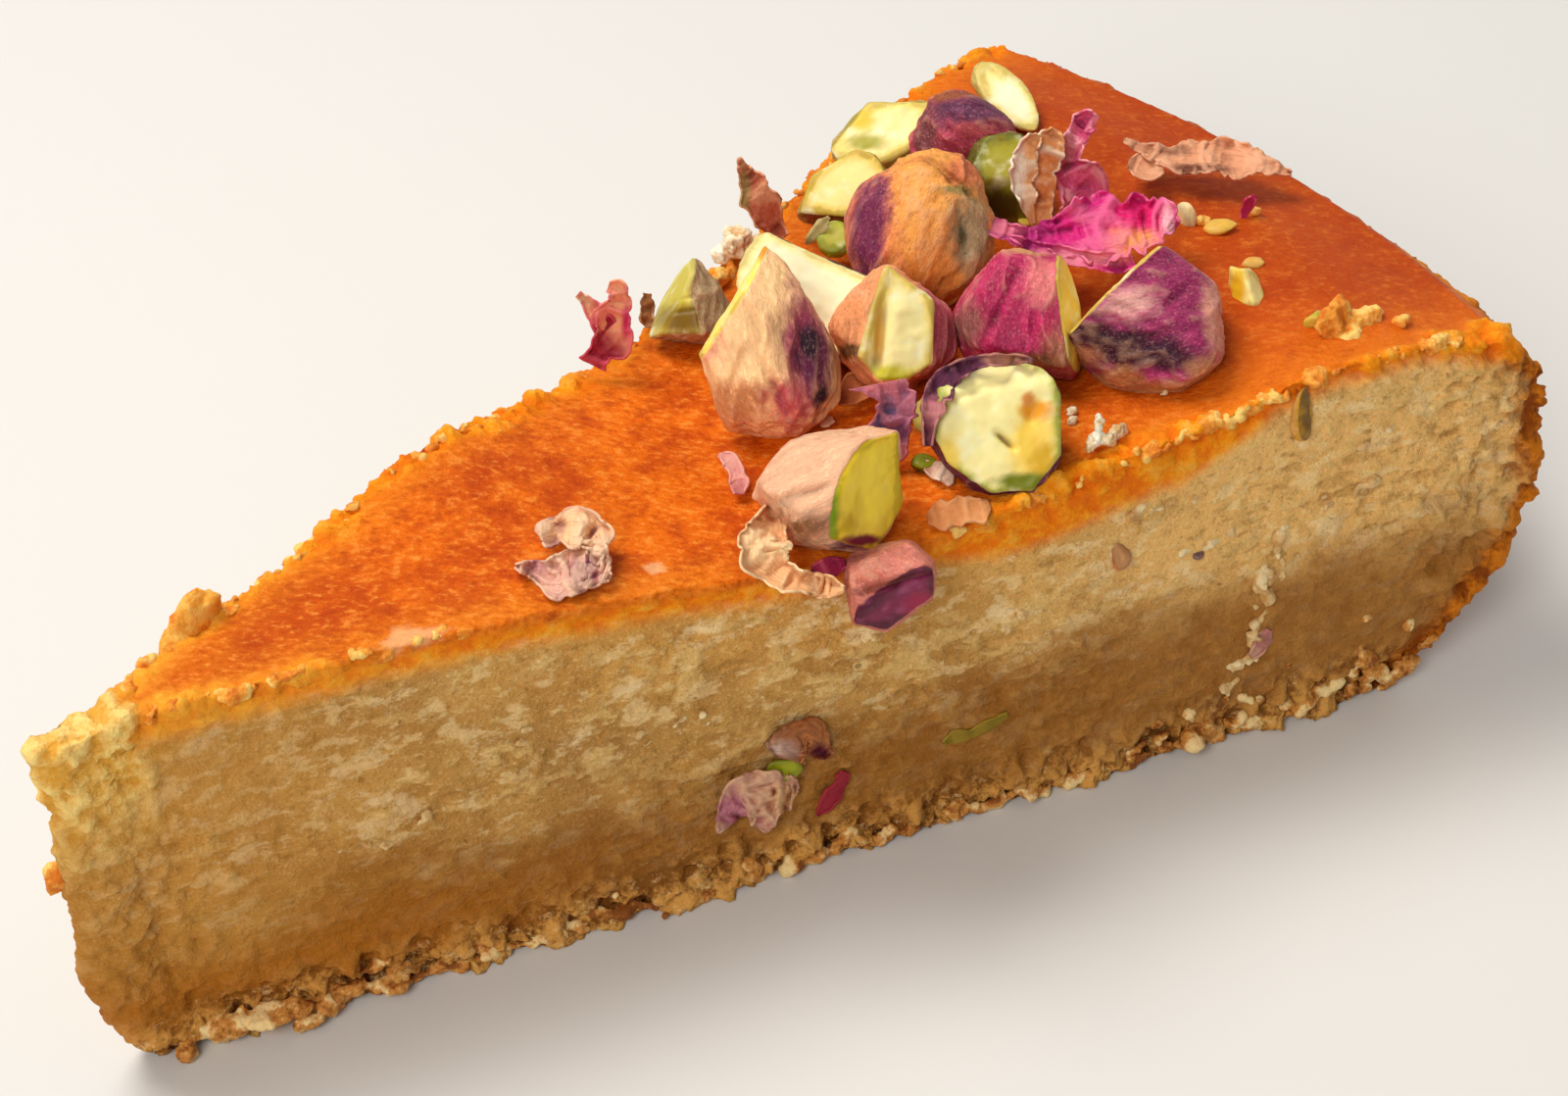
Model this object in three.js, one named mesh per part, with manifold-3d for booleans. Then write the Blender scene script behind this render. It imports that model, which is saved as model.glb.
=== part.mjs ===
// A slice of persian love cake: a wedge of dense almond cake baked on a
// crumbly base, with a glossy orange crust that has sunk in the middle, and
// a heap of broken pistachio kernels and dried rose petals on top of it.
// Millimetres. +X runs along the middle of the slice from its tip to the
// outer rim, the cut faces look to -Y and +Y, +Z is up. The slice stands on
// Z = 0 with its bounding box centred over the origin.
import * as THREE from "three";
import { mergeVertices } from "three/addons/utils/BufferGeometryUtils.js";
import Module from "manifold-3d";

const RADIUS = 112; // radius of the whole cake, where the crust starts
const HALF_ANGLE = THREE.MathUtils.degToRad(15.8); // half the slice's angle
const CRUST_HEIGHT = 31.5; // crust over the table near the tip
const SAG = 3.5; // how far the crust has sunk in the middle
const SAG_AT = 62; // distance of the lowest place from the tip
const SAG_WIDTH = 19;
const RIM_LIFT = 1.9; // crust puffed up inside the rim, near cut face
const BULGE = 3.6; // rim wall over the nominal radius
const BULGE_AT = 21.2; // height of the widest place of the rim wall
const FOOT_TUCK = 12; // how far the rim wall runs in under the slice
const NOSE = 1.6; // half the width of the blunt tip
const NOSE_OUT = 1.2; // blunt tip beyond the point of the wedge
const BASE_HEIGHT = 11.4; // crumb base at the middle of the slice
const GAP = 0.3; // clearance between neighbouring pieces
const SIDE_POINTS = 20; // points along one cut face
const RIM_POINTS = 9; // points around the rim
const CENTRE_X = 57.4; // tip to the middle of the bounding box
const PETAL_THICK = 0.4;
// The photo's directions: to its right, up, and from the cake to the camera.
const RIGHT = new THREE.Vector3(0.792, -0.61, -0.035);
const UPWARD = new THREE.Vector3(0.398, 0.471, 0.787);
const TOWARD = new THREE.Vector3(-0.464, -0.637, 0.616);

const wasm = await Module();
wasm.setup();

const clamp = THREE.MathUtils.clamp;
const smooth = THREE.MathUtils.smoothstep;
const lerp = THREE.MathUtils.lerp;

// Repeatable random numbers from 0 to 1.
function makeRandom(seed) {
  let state = seed * 7919 + 13;
  return () => {
    state = (state * 1103515245 + 12345) % 2147483648;
    return state / 2147483648;
  };
}

// Smooth unevenness from -1 to 1 out of a few waves.
function uneven(x, y, z, pitch) {
  const a = Math.sin((x * 1.7 + y * 0.6 + z * 0.9) / pitch + 1.3);
  const b = Math.sin((x * -0.8 + y * 1.9 + z * 1.1) / pitch + 4.1);
  const c = Math.sin((x * 0.5 - y * 1.2 + z * 2.3) / pitch + 2.2);
  return (a + b + c) / 3;
}

// The cake.
// Height of the crust at a distance from the tip; side is -1 on the near
// cut face and +1 on the far one.
function crustHeight(r, side) {
  const sag = SAG * Math.exp(-(((r - SAG_AT - 2 * side) / SAG_WIDTH) ** 2));
  const lift = RIM_LIFT * smooth(r, 84, 98) * (0.5 - 0.4 * side);
  const swell = 1.9 * Math.max(side, 0) * Math.exp(-(((r - 38) / 9) ** 2));
  const shoulder = 1.6 * smooth(r, 101, 112) ** 2;
  return CRUST_HEIGHT - sag + lift + swell - shoulder;
}

// Height of the line where the cake meets the crumb base.
function baseHeight(r) {
  const tip = 1.3 * Math.exp(-((r / 12) ** 2));
  const dip = -1.4 * Math.exp(-(((r - 32) / 16) ** 2));
  return BASE_HEIGHT + tip + dip + 2.4 * smooth(r, 45, 104);
}

// Radius of the rim wall at a height.
function rimRadius(z) {
  const low = clamp(1 - z / BULGE_AT, 0, 1);
  const high = clamp((z - BULGE_AT) / 11, 0, 1.1);
  return RADIUS + BULGE - FOOT_TUCK * low ** 2.3 - 5 * high ** 3;
}

// A point of the outline at height z. t runs 0 to 1 from the tip along the
// near cut face, 1 to 2 round the rim and 2 to 3 back to the tip.
function outlinePoint(t, z) {
  const rim = rimRadius(z);
  if (t > 1 && t < 2) {
    const turn = lerp(-HALF_ANGLE, HALF_ANGLE, t - 1);
    return [rim * Math.cos(turn), rim * Math.sin(turn)];
  }
  const side = t <= 1 ? -1 : 1;
  const along = (t <= 1 ? t : 3 - t) ** 1.25;
  const x = lerp(-NOSE_OUT, rim * Math.cos(HALF_ANGLE), along);
  const nose = NOSE * Math.sqrt(clamp((x + NOSE_OUT) / 3, 0, 1));
  const half = Math.max(x * Math.tan(HALF_ANGLE), nose);
  return [x, side * half];
}

function outlineSteps() {
  const steps = [];
  for (let i = 0; i < SIDE_POINTS; i += 1) steps.push(i / SIDE_POINTS);
  for (let i = 0; i < RIM_POINTS; i += 1) steps.push(1 + i / RIM_POINTS);
  for (let i = 0; i < SIDE_POINTS; i += 1) steps.push(2 + i / SIDE_POINTS);
  return steps;
}

const CRUST_RINGS = [0.965, 0.87, 0.74, 0.6, 0.45, 0.3, 0.15];
const FLAT_RINGS = [0.85, 0.35];

// A wedge between two surfaces: rings of points go from the middle of the
// underside out to the outline, up the wall and back to the middle on top.
function wedge(floorAt, roofAt, wallRings, roofRings, rough) {
  const steps = outlineSteps();
  const middle = [RADIUS * 0.6, 0];
  const points = [];
  const place = (t, q, level) => {
    const guess = outlinePoint(t, 20);
    const r = Math.hypot(guess[0], guess[1]);
    const side = clamp(Math.atan2(guess[1], guess[0]) / HALF_ANGLE, -1, 1);
    const low = floorAt(r, side);
    const high = roofAt(r, side);
    const z = lerp(low, high, level);
    const [ox, oy] = outlinePoint(t, clamp(z, 0, high - 0.9));
    const x = lerp(middle[0], ox, q);
    const y = lerp(middle[1], oy, q);
    if (q < 1) {
      const rr = Math.hypot(x, y);
      const ss = clamp(Math.atan2(y, Math.max(x, 1)) / HALF_ANGLE, -1, 1);
      points.push([x, y, level === 0 ? floorAt(rr, ss) : roofAt(rr, ss)]);
      return;
    }
    const push = rough(x, y, z);
    const out = Math.abs(side) > 0.98 ? Math.sign(side) : side;
    points.push([x, y + out * push, z]);
  };
  const rings = [];
  for (const q of [0.35, 0.85]) rings.push([q, 0]);
  for (let i = 0; i <= wallRings; i += 1) rings.push([1, i / wallRings]);
  for (const q of roofRings) rings.push([q, 1]);
  for (const [q, level] of rings) for (const t of steps) place(t, q, level);
  points.push([middle[0], 0, floorAt(middle[0], 0)]);
  points.push([middle[0], 0, roofAt(middle[0], 0)]);
  return closeRings(points, rings.length, steps.length);
}

// Triangles between consecutive rings, with a fan at either end.
function closeRings(points, ringCount, ringSize) {
  const faces = [];
  const last = ringCount * ringSize;
  for (let j = 0; j < ringSize; j += 1) {
    const k = (j + 1) % ringSize;
    faces.push(last, k, j);
    const top = (ringCount - 1) * ringSize;
    faces.push(last + 1, top + j, top + k);
    for (let i = 0; i < ringCount - 1; i += 1) {
      const a = i * ringSize + j;
      const b = i * ringSize + k;
      faces.push(a, b, b + ringSize);
      faces.push(a, b + ringSize, a + ringSize);
    }
  }
  return solidFrom(points.flat(), faces);
}

function solidFrom(coords, faces) {
  const mesh = new wasm.Mesh({
    numProp: 3,
    vertProperties: new Float32Array(coords),
    triVerts: new Uint32Array(faces),
  });
  return new wasm.Manifold(mesh);
}

function solidFromGeometry(geometry) {
  geometry.deleteAttribute("normal");
  geometry.deleteAttribute("uv");
  const merged = mergeVertices(geometry, 1e-4);
  return solidFrom(merged.attributes.position.array, merged.index.array);
}

// Cut crumb is only a little rough; the base breaks into coarse crumbs.
const cakeRough = (x, y, z) => 0.3 * uneven(x, y, z, 2.1);
const baseRough = (x, y, z) => {
  const low = 1 - smooth(z, 2, 9);
  return (0.35 + 0.55 * low) * uneven(x, y, z, 1.3);
};

const cakeFloor = (r) => baseHeight(r) + GAP / 2;
const baseRoof = (r) => baseHeight(r) - GAP / 2;

// Small bits.
// A broken crumb, flake or chip: a lumpy eight-sided grain.
function grain(at, size, turn, seed) {
  const random = makeRandom(seed);
  const shape = new THREE.IcosahedronGeometry(0.5, 0);
  shape.deleteAttribute("normal");
  shape.deleteAttribute("uv");
  const merged = mergeVertices(shape, 1e-4);
  const pos = merged.attributes.position;
  for (let i = 0; i < pos.count; i += 1) {
    const k = 0.8 + 0.4 * random();
    pos.setXYZ(i, pos.getX(i) * k, pos.getY(i) * k, pos.getZ(i) * k);
  }
  merged.scale(size[0], size[1], size[2]);
  merged.rotateX(turn[0]);
  merged.rotateZ(turn[1]);
  merged.translate(at[0], at[1], at[2]);
  return solidFromGeometry(merged);
}

// A place on a cut face: distance from the tip, height, depth into the cake.
function onCutFace(r, z, side, sunk) {
  const x = r * Math.cos(HALF_ANGLE) + side * sunk * Math.sin(HALF_ANGLE);
  const y = side * (r * Math.sin(HALF_ANGLE) - sunk * Math.cos(HALF_ANGLE));
  return [x, y, z];
}

// Bits fused to the cake: nuts and skins showing in the near cut face, and
// crumbs, chips and flakes lying on the crust.
// Each row: distance from the tip, height, size along, size up, depth.
const CUT_FACE_BITS = [
  [53.1, 14.2, 4.6, 3.2, 1.6],
  [79.1, 24.1, 2.2, 2.4, 1.4],
  [92.0, 19.8, 1.6, 6.5, 1.2],
];
// Each row: x, y, height over the crust, then the three sizes.
const CRUST_BITS = [
  [69.6, 15.6, 1.6, 2.8, 2.2, 3.6],
  [100.6, -2.8, 0.5, 2.2, 1.8, 1.9],
  [102.4, -4.6, 0.4, 2.0, 1.7, 1.6],
  [104.4, -6.0, 0.4, 1.2, 1.6, 1.4],
  [95.4, -14.8, 0.5, 2.2, 3.0, 2.0],
  [96.2, -21.0, 0.3, 2.4, 1.3, 1.1],
  [98.6, -22.8, 0.4, 3.4, 3.0, 2.4],
  [76.2, -19.6, 0.3, 2.6, 2.6, 1.6],
  [77.6, -15.2, 0.2, 1.1, 1.2, 1.0],
  [14.2, 3.7, 0.9, 3.2, 2.6, 3.4],
  [56.6, -1.2, 0.0, 2.2, 1.8, 0.9],
];

function makeCake() {
  let cake = wedge(cakeFloor, crustHeight, 5, CRUST_RINGS, cakeRough);
  CUT_FACE_BITS.forEach(([r, z, long, tall, deep], i) => {
    const at = onCutFace(r, z, -1, deep * 0.25);
    cake = cake.add(grain(at, [long, deep, tall], [0, -HALF_ANGLE], 20 + i));
  });
  CRUST_BITS.forEach(([x, y, up, sx, sy, sz], i) => {
    const z = crustHeight(Math.hypot(x, y), Math.atan2(y, x) / HALF_ANGLE) + up;
    cake = cake.add(grain([x, y, z], [sx, sy, sz], [0.2, i * 1.1], 40 + i));
  });
  return cake;
}

// The base: coarse crumbs stick out of both cut faces near the bottom.
const BASE_CRUMBS = 11; // on each cut face
function makeBase() {
  let base = wedge(() => 0, baseRoof, 5, FLAT_RINGS, baseRough);
  const random = makeRandom(5);
  for (const side of [-1, 1]) {
    for (let i = 0; i < BASE_CRUMBS; i += 1) {
      const r = 8 + (i + random() * 0.8) * 8.6;
      const size = 2.0 + 1.9 * random();
      const at = onCutFace(r, size * 0.75 + 2.2 * random(), side, 0.1);
      base = base.add(grain(at, [size * 1.3, size, size], [0, i], 60 + i));
    }
  }
  const table = new THREE.BoxGeometry(200, 200, 20).translate(60, 0, -10);
  return base.subtract(solidFromGeometry(table));
}

// Pistachio kernels.
// Turns a shape so that its X lies along and its Z looks towards face.
function turnTo(along, face) {
  const ax = new THREE.Vector3(...along).normalize();
  const az = new THREE.Vector3(...face);
  az.addScaledVector(ax, -az.dot(ax)).normalize();
  const ay = new THREE.Vector3().crossVectors(az, ax);
  return new THREE.Matrix4().makeBasis(ax, ay, az);
}

// A kernel: an egg shape with a blunt and a pointed end and shrunken skin.
// sides are its flat faces, from the knife or from drying: the way each
// looks in the photo in degrees, 0 to the right and 90 up, how far it leans
// to the camera, and its distance from the middle.
function kernel(spec, grow) {
  const shape = new THREE.SphereGeometry(0.5, 14, 10);
  shape.deleteAttribute("normal");
  shape.deleteAttribute("uv");
  const merged = mergeVertices(shape, 1e-4);
  const pos = merged.attributes.position;
  const [long, wide, high] = spec.size.map((s) => s + 2 * grow);
  for (let i = 0; i < pos.count; i += 1) {
    const p = new THREE.Vector3().fromBufferAttribute(pos, i);
    const u = p.y * 2;
    const slim = 1 - 0.2 * Math.max(u, 0) ** 2 - 0.08 * u;
    const crease = 1 + spec.shrunk * uneven(p.x * 9, p.y * 3, p.z * 9 + spec.seed, 1);
    pos.setXYZ(i, p.y * long, -p.x * wide * slim * crease, p.z * high * slim * crease);
  }
  let nut = placed(solidFromGeometry(merged), spec);
  for (const [degrees, lean, far] of spec.sides) {
    const turned = THREE.MathUtils.degToRad(degrees);
    const normal = RIGHT.clone()
      .multiplyScalar(Math.cos(turned))
      .addScaledVector(UPWARD, Math.sin(turned))
      .addScaledVector(TOWARD, lean)
      .normalize();
    const knife = new THREE.BoxGeometry(60, 60, 30).translate(0, 0, 15 + far + grow);
    knife.applyMatrix4(turnTo([normal.y, -normal.x, 0], normal.toArray()));
    knife.translate(...spec.at);
    nut = nut.subtract(solidFromGeometry(knife));
  }
  return nut;
}

function placed(solid, spec) {
  const move = turnTo(spec.along, spec.face);
  move.setPosition(...spec.at);
  return solid.transform(move.elements);
}

// Kernels of the heap, front ones first. at is the middle of the kernel
// with x from the tip of the slice, size is length, width and thickness.
const KERNELS = [
  {
    name: "pistachio_round_face", seed: 1, shrunk: 0.05, at: [69.5, -15.6, 33.4],
    size: [11.4, 11.4, 10.0], along: [0.5, -0.35, 0.79], face: [-0.42, -0.7, 0.55],
    sides: [[0, 0.1, 4.7], [322, 0.2, 5.0], [236, 0.1, 4.5], [203, 0.1, 4.6], [275, 0.2, 5.0],
      [160, 0.45, 4.7], [132, 0.5, 4.6], [100, 0.4, 4.7], [60, 0.1, 5.4], [300, 12, 1.0],
      [96, 1.35, 1.9]],
    color: 0xd9d27a,
  },
  {
    name: "pistachio_green_end", seed: 2, shrunk: 0.06, at: [56.2, -13.2, 32.3],
    size: [13.6, 10.0, 10.0], along: [0.86, -0.3, 0.4], face: [-0.2, -0.6, 0.8],
    sides: [[92, 0.25, 4.25], [150, 0.2, 4.9], [218, 0.2, 4.2], [265, 0.1, 3.8], [2, 0.1, 4.8],
      [130, 1.1, 4.0], [319, 0.8, 2.0]],
    color: 0xd89a6e,
  },
  {
    name: "pistachio_leaning_half", seed: 3, shrunk: 0.05, at: [61.4, 2.6, 34.6],
    size: [16.4, 14.0, 9.8], along: [0.29, 0.62, 0.69], face: [0.24, 0.9, -0.34],
    sides: [[28.7, 0.12, 4.9], [11, 0.15, 5.5], [318, 0.2, 7.2], [268, 0.25, 6.4], [200, 0.2, 4.25],
      [185, 2.0, 3.9], [10, 1.35, 4.4], [250, 1.4, 5.0], [144, -3.0, 0.8], [149, 0.16, 3.2]],
    color: 0xc98868,
  },
  {
    name: "pistachio_split", seed: 4, shrunk: 0.06, at: [70.6, -2.2, 34.2],
    size: [12.4, 12.4, 10.0], along: [0.25, 0.35, 0.9], face: [-0.1, -0.85, 0.5],
    sides: [[135, 0.1, 3.95], [220, 0.15, 3.6], [272, 0.1, 4.05], [300, 0.1, 3.95], [2, 0.1, 4.9],
      [53, 0.1, 3.8], [168, 1.05, 3.15], [355, 0.6, 3.7], [300, 9, 3.2]],
    color: 0xb9707a,
  },
  {
    name: "pistachio_magenta_half", seed: 5, shrunk: 0.05, at: [78.6, -7.4, 34.4],
    size: [13.4, 13.0, 10.4], along: [0.3, 0.3, 0.9], face: [0.72, -0.62, 0.1],
    sides: [[82, 0.1, 5.15], [143, 0.1, 4.05], [214, 0.2, 4.1], [256, 0.15, 3.5], [0, 0.0, 4.9],
      [200, 14, 3.4], [196, 1.0, 4.1], [84, 1.2, 4.7], [8, 0.3, 4.0]],
    color: 0xa03a62,
  },
  {
    name: "pistachio_purple_dome", seed: 6, shrunk: 0.05, at: [85.2, -14.6, 34.8],
    size: [15.0, 13.4, 11.4], along: [0.75, -0.5, 0.2], face: [0.1, -0.2, 0.97],
    sides: [[53, 0.1, 5.2], [5, 0.15, 5.3], [306, 0.15, 5.7], [268, 0.15, 5.0], [227, 0.2, 4.9],
      [72, 1.9, 4.1], [232, 1.45, 3.7], [30, 1.3, 4.8], [134, -0.06, 3.6]],
    color: 0x9a4a72,
  },
  {
    name: "pistachio_whole", seed: 7, shrunk: 0.07, at: [80.2, 5.8, 35.2],
    size: [13.8, 11.4, 11.2], along: [0.35, -0.1, 0.93], face: [-0.3, -0.7, 0.6],
    sides: [[145, 0.15, 5.9], [178, 1.0, 5.2]],
    color: 0xcf8a48,
  },
  {
    name: "pistachio_pale_half", seed: 8, shrunk: 0.03, at: [69.4, 6.0, 33.6],
    size: [13.0, 9.4, 8.4], along: [0.45, -0.77, -0.45], face: [-0.34, -0.5, 0.85],
    sides: [[63, -0.1, 3.0], [158, 3.5, 0.6]],
    color: 0xe6e08c,
  },
  {
    name: "pistachio_cream_shell", seed: 9, shrunk: 0.04, at: [79.4, 14.6, 33.4],
    size: [9.8, 8.8, 7.0], along: [0.5, 0.1, 0.85], face: [-0.6, -0.6, 0.5],
    sides: [[122, 0.0, 3.5], [160, 0.1, 3.2], [258, 0.3, 0.9], [170, 3.0, 0.5]],
    color: 0xe0c46a,
  },
  {
    name: "pistachio_green_stub", seed: 10, shrunk: 0.03, at: [90.2, 8.4, 34.6],
    size: [9.4, 7.6, 7.4], along: [0.1, 0.3, 0.95], face: [-0.2, -0.9, 0.4],
    sides: [[95, 0.2, 3.4], [155, 0.2, 2.7], [185, 0.3, 2.5], [115, 4.0, 2.3], [262, 1.6, 2.2]],
    color: 0x6f7a1e,
  },
  {
    name: "pistachio_purple_back", seed: 11, shrunk: 0.05, at: [91.5, 14.4, 35.3],
    size: [10.2, 8.8, 8.4], along: [0.85, -0.2, -0.45], face: [-0.3, -0.3, 0.9],
    sides: [[100, 0.3, 3.3], [60, 0.2, 3.2], [150, 0.2, 3.5], [178, 0.9, 3.4], [262, 1.1, 3.1]],
    color: 0x8a4468,
  },
  {
    name: "pistachio_pale_back", seed: 12, shrunk: 0.04, at: [88.6, 20.8, 33.8],
    size: [9.8, 6.4, 6.0], along: [0.92, -0.3, 0.2], face: [-0.4, -0.5, 0.75],
    sides: [[90, 0.1, 2.4], [140, 0.2, 2.6], [110, 2.6, 1.2]],
    color: 0xe2dc86,
  },
  {
    name: "pistachio_sliver", seed: 13, shrunk: 0.03, at: [99.8, 18.6, 33.6],
    size: [9.0, 3.8, 3.4], along: [-0.13, -0.95, -0.15], face: [-0.3, -0.2, 0.9],
    sides: [[88, 1.5, 0.5]],
    color: 0xe8e39a,
  },
  {
    name: "pistachio_olive_wedge", seed: 14, shrunk: 0.05, at: [63.2, 13.6, 31.6],
    size: [8.6, 7.0, 6.4], along: [0.6, 0.1, 0.8], face: [-0.8, 0.2, 0.5],
    sides: [[38, 0.3, 2.3], [268, 0.1, 2.5], [20, 1.2, 1.8], [153, 0.35, 1.3], [185, 2.4, 1.9]],
    color: 0xb79a3c,
  },
  {
    name: "pistachio_edge_chunk", seed: 15, shrunk: 0.07, at: [56.2, -19.3, 27.9],
    size: [8.6, 8.6, 7.2], along: [0.4, -0.7, -0.6], face: [-0.4, -0.3, 0.86],
    sides: [[109, 0.15, 2.2], [51, 0.2, 3.1], [0, 0.1, 3.3], [305, 0.1, 2.7], [261, 0.1, 3.3],
      [185, 0.1, 2.7], [104, 1.3, 2.5], [285, 2.2, 2.6]],
    color: 0xc87f78,
  },
  {
    name: "pistachio_green_crumb", seed: 16, shrunk: 0.04, at: [77.0, 13.0, 32.1],
    size: [3.4, 2.8, 3.0], along: [0.3, 0.1, 0.95], face: [-0.5, -0.5, 0.7],
    sides: [[100, 3.0, 0.7]],
    color: 0x9aa838,
  },
];

// Dried rose petals.
// A petal is one thin sheet or two. path is the middle line of a sheet as
// the photo shows it, right and up of at, with its two half widths; lips is
// how far each edge rolls over and lean how fast it rises to the camera.
const PETAL_LONG = 12; // cells along a petal
const PETAL_WIDE = 6; // cells across a petal
const LIP_STEPS = 12; // steps in which an edge rolls over
function sheetPoint(sheet, u, v, grow) {
  const line = new THREE.CatmullRomCurve3(sheet.path.map((p) => new THREE.Vector3(p[0], p[1], 0)));
  const widths = new THREE.CatmullRomCurve3(sheet.path.map((p) => new THREE.Vector3(p[2], p[3], 0)));
  const along = line.getTangent(u);
  const middle = line.getPoint(u).addScaledVector(along, grow * (2 * u - 1));
  const both = widths.getPoint(u);
  const before = Math.max(u - 0.06, 0);
  const after = Math.min(u + 0.06, 1);
  const turned = line.getTangent(before).cross(line.getTangent(after)).z;
  const bend = turned / line.getPoint(before).distanceTo(line.getPoint(after));
  // Inside a bend there is only room for a narrow side.
  const room = v * bend > 0 ? 0.75 / Math.abs(bend) : 10;
  const width = Math.min(Math.max(v > 0 ? both.x : both.y, 0.25), room) + grow;
  const lip = v > 0 ? sheet.lips[0] : sheet.lips[1];
  let out = 0;
  let lift = 0;
  let full = 0;
  for (let k = 1; k <= LIP_STEPS; k += 1) {
    const angle = lip * (k / LIP_STEPS) ** 2.2;
    const reached = clamp(Math.abs(v) * LIP_STEPS - (k - 1), 0, 1) / LIP_STEPS;
    out += Math.cos(angle) * reached;
    lift += Math.sin(angle) * reached;
    full += Math.max(Math.cos(angle), 0) / LIP_STEPS;
  }
  const side = (Math.sign(v) * out * width) / full;
  const right = middle.x - along.y * side;
  const up = middle.y + along.x * side;
  return RIGHT.clone()
    .multiplyScalar(right)
    .addScaledVector(UPWARD, up)
    .addScaledVector(TOWARD, (lift * width) / full + sheet.lean * up);
}

function sheetSolid(sheet, grow) {
  const half = PETAL_THICK / 2 + grow;
  const points = [];
  for (const face of [1, -1]) {
    for (let i = 0; i <= PETAL_LONG; i += 1) {
      for (let j = 0; j <= PETAL_WIDE; j += 1) {
        const u = i / PETAL_LONG;
        const v = (2 * j) / PETAL_WIDE - 1;
        const p = sheetPoint(sheet, u, v, grow);
        const du = sheetPoint(sheet, u * 0.98 + 0.02, v, grow)
          .sub(sheetPoint(sheet, u * 0.98, v, grow));
        const dv = sheetPoint(sheet, u, v * 0.98 + 0.01, grow)
          .sub(sheetPoint(sheet, u, v * 0.98 - 0.01, grow));
        const n = du.cross(dv).normalize();
        p.addScaledVector(n, face * half);
        points.push(p.x, p.y, p.z);
      }
    }
  }
  const solid = solidFrom(points, sheetFaces(PETAL_LONG, PETAL_WIDE));
  return solid.translate(sheet.at);
}

function petal(spec, grow) {
  return spec.sheets
    .map((sheet) => sheetSolid(sheet, grow))
    .reduce((whole, sheet) => whole.add(sheet));
}

// Faces of a sheet of two equal grids joined around the edge.
function sheetFaces(long, wide) {
  const row = wide + 1;
  const back = (long + 1) * row;
  const faces = [];
  for (let i = 0; i < long; i += 1) {
    for (let j = 0; j < wide; j += 1) {
      const a = i * row + j;
      faces.push(a, a + row, a + row + 1, a, a + row + 1, a + 1);
      faces.push(back + a, back + a + row + 1, back + a + row);
      faces.push(back + a, back + a + 1, back + a + row + 1);
    }
  }
  const edge = [];
  for (let j = 0; j < wide; j += 1) edge.push(j);
  for (let i = 0; i < long; i += 1) edge.push(i * row + wide);
  for (let j = wide; j > 0; j -= 1) edge.push(long * row + j);
  for (let i = long; i > 0; i -= 1) edge.push(i * row);
  edge.forEach((a, i) => {
    const b = edge[(i + 1) % edge.length];
    faces.push(a, b, b + back, a, b + back, a + back);
  });
  return faces;
}

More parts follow.
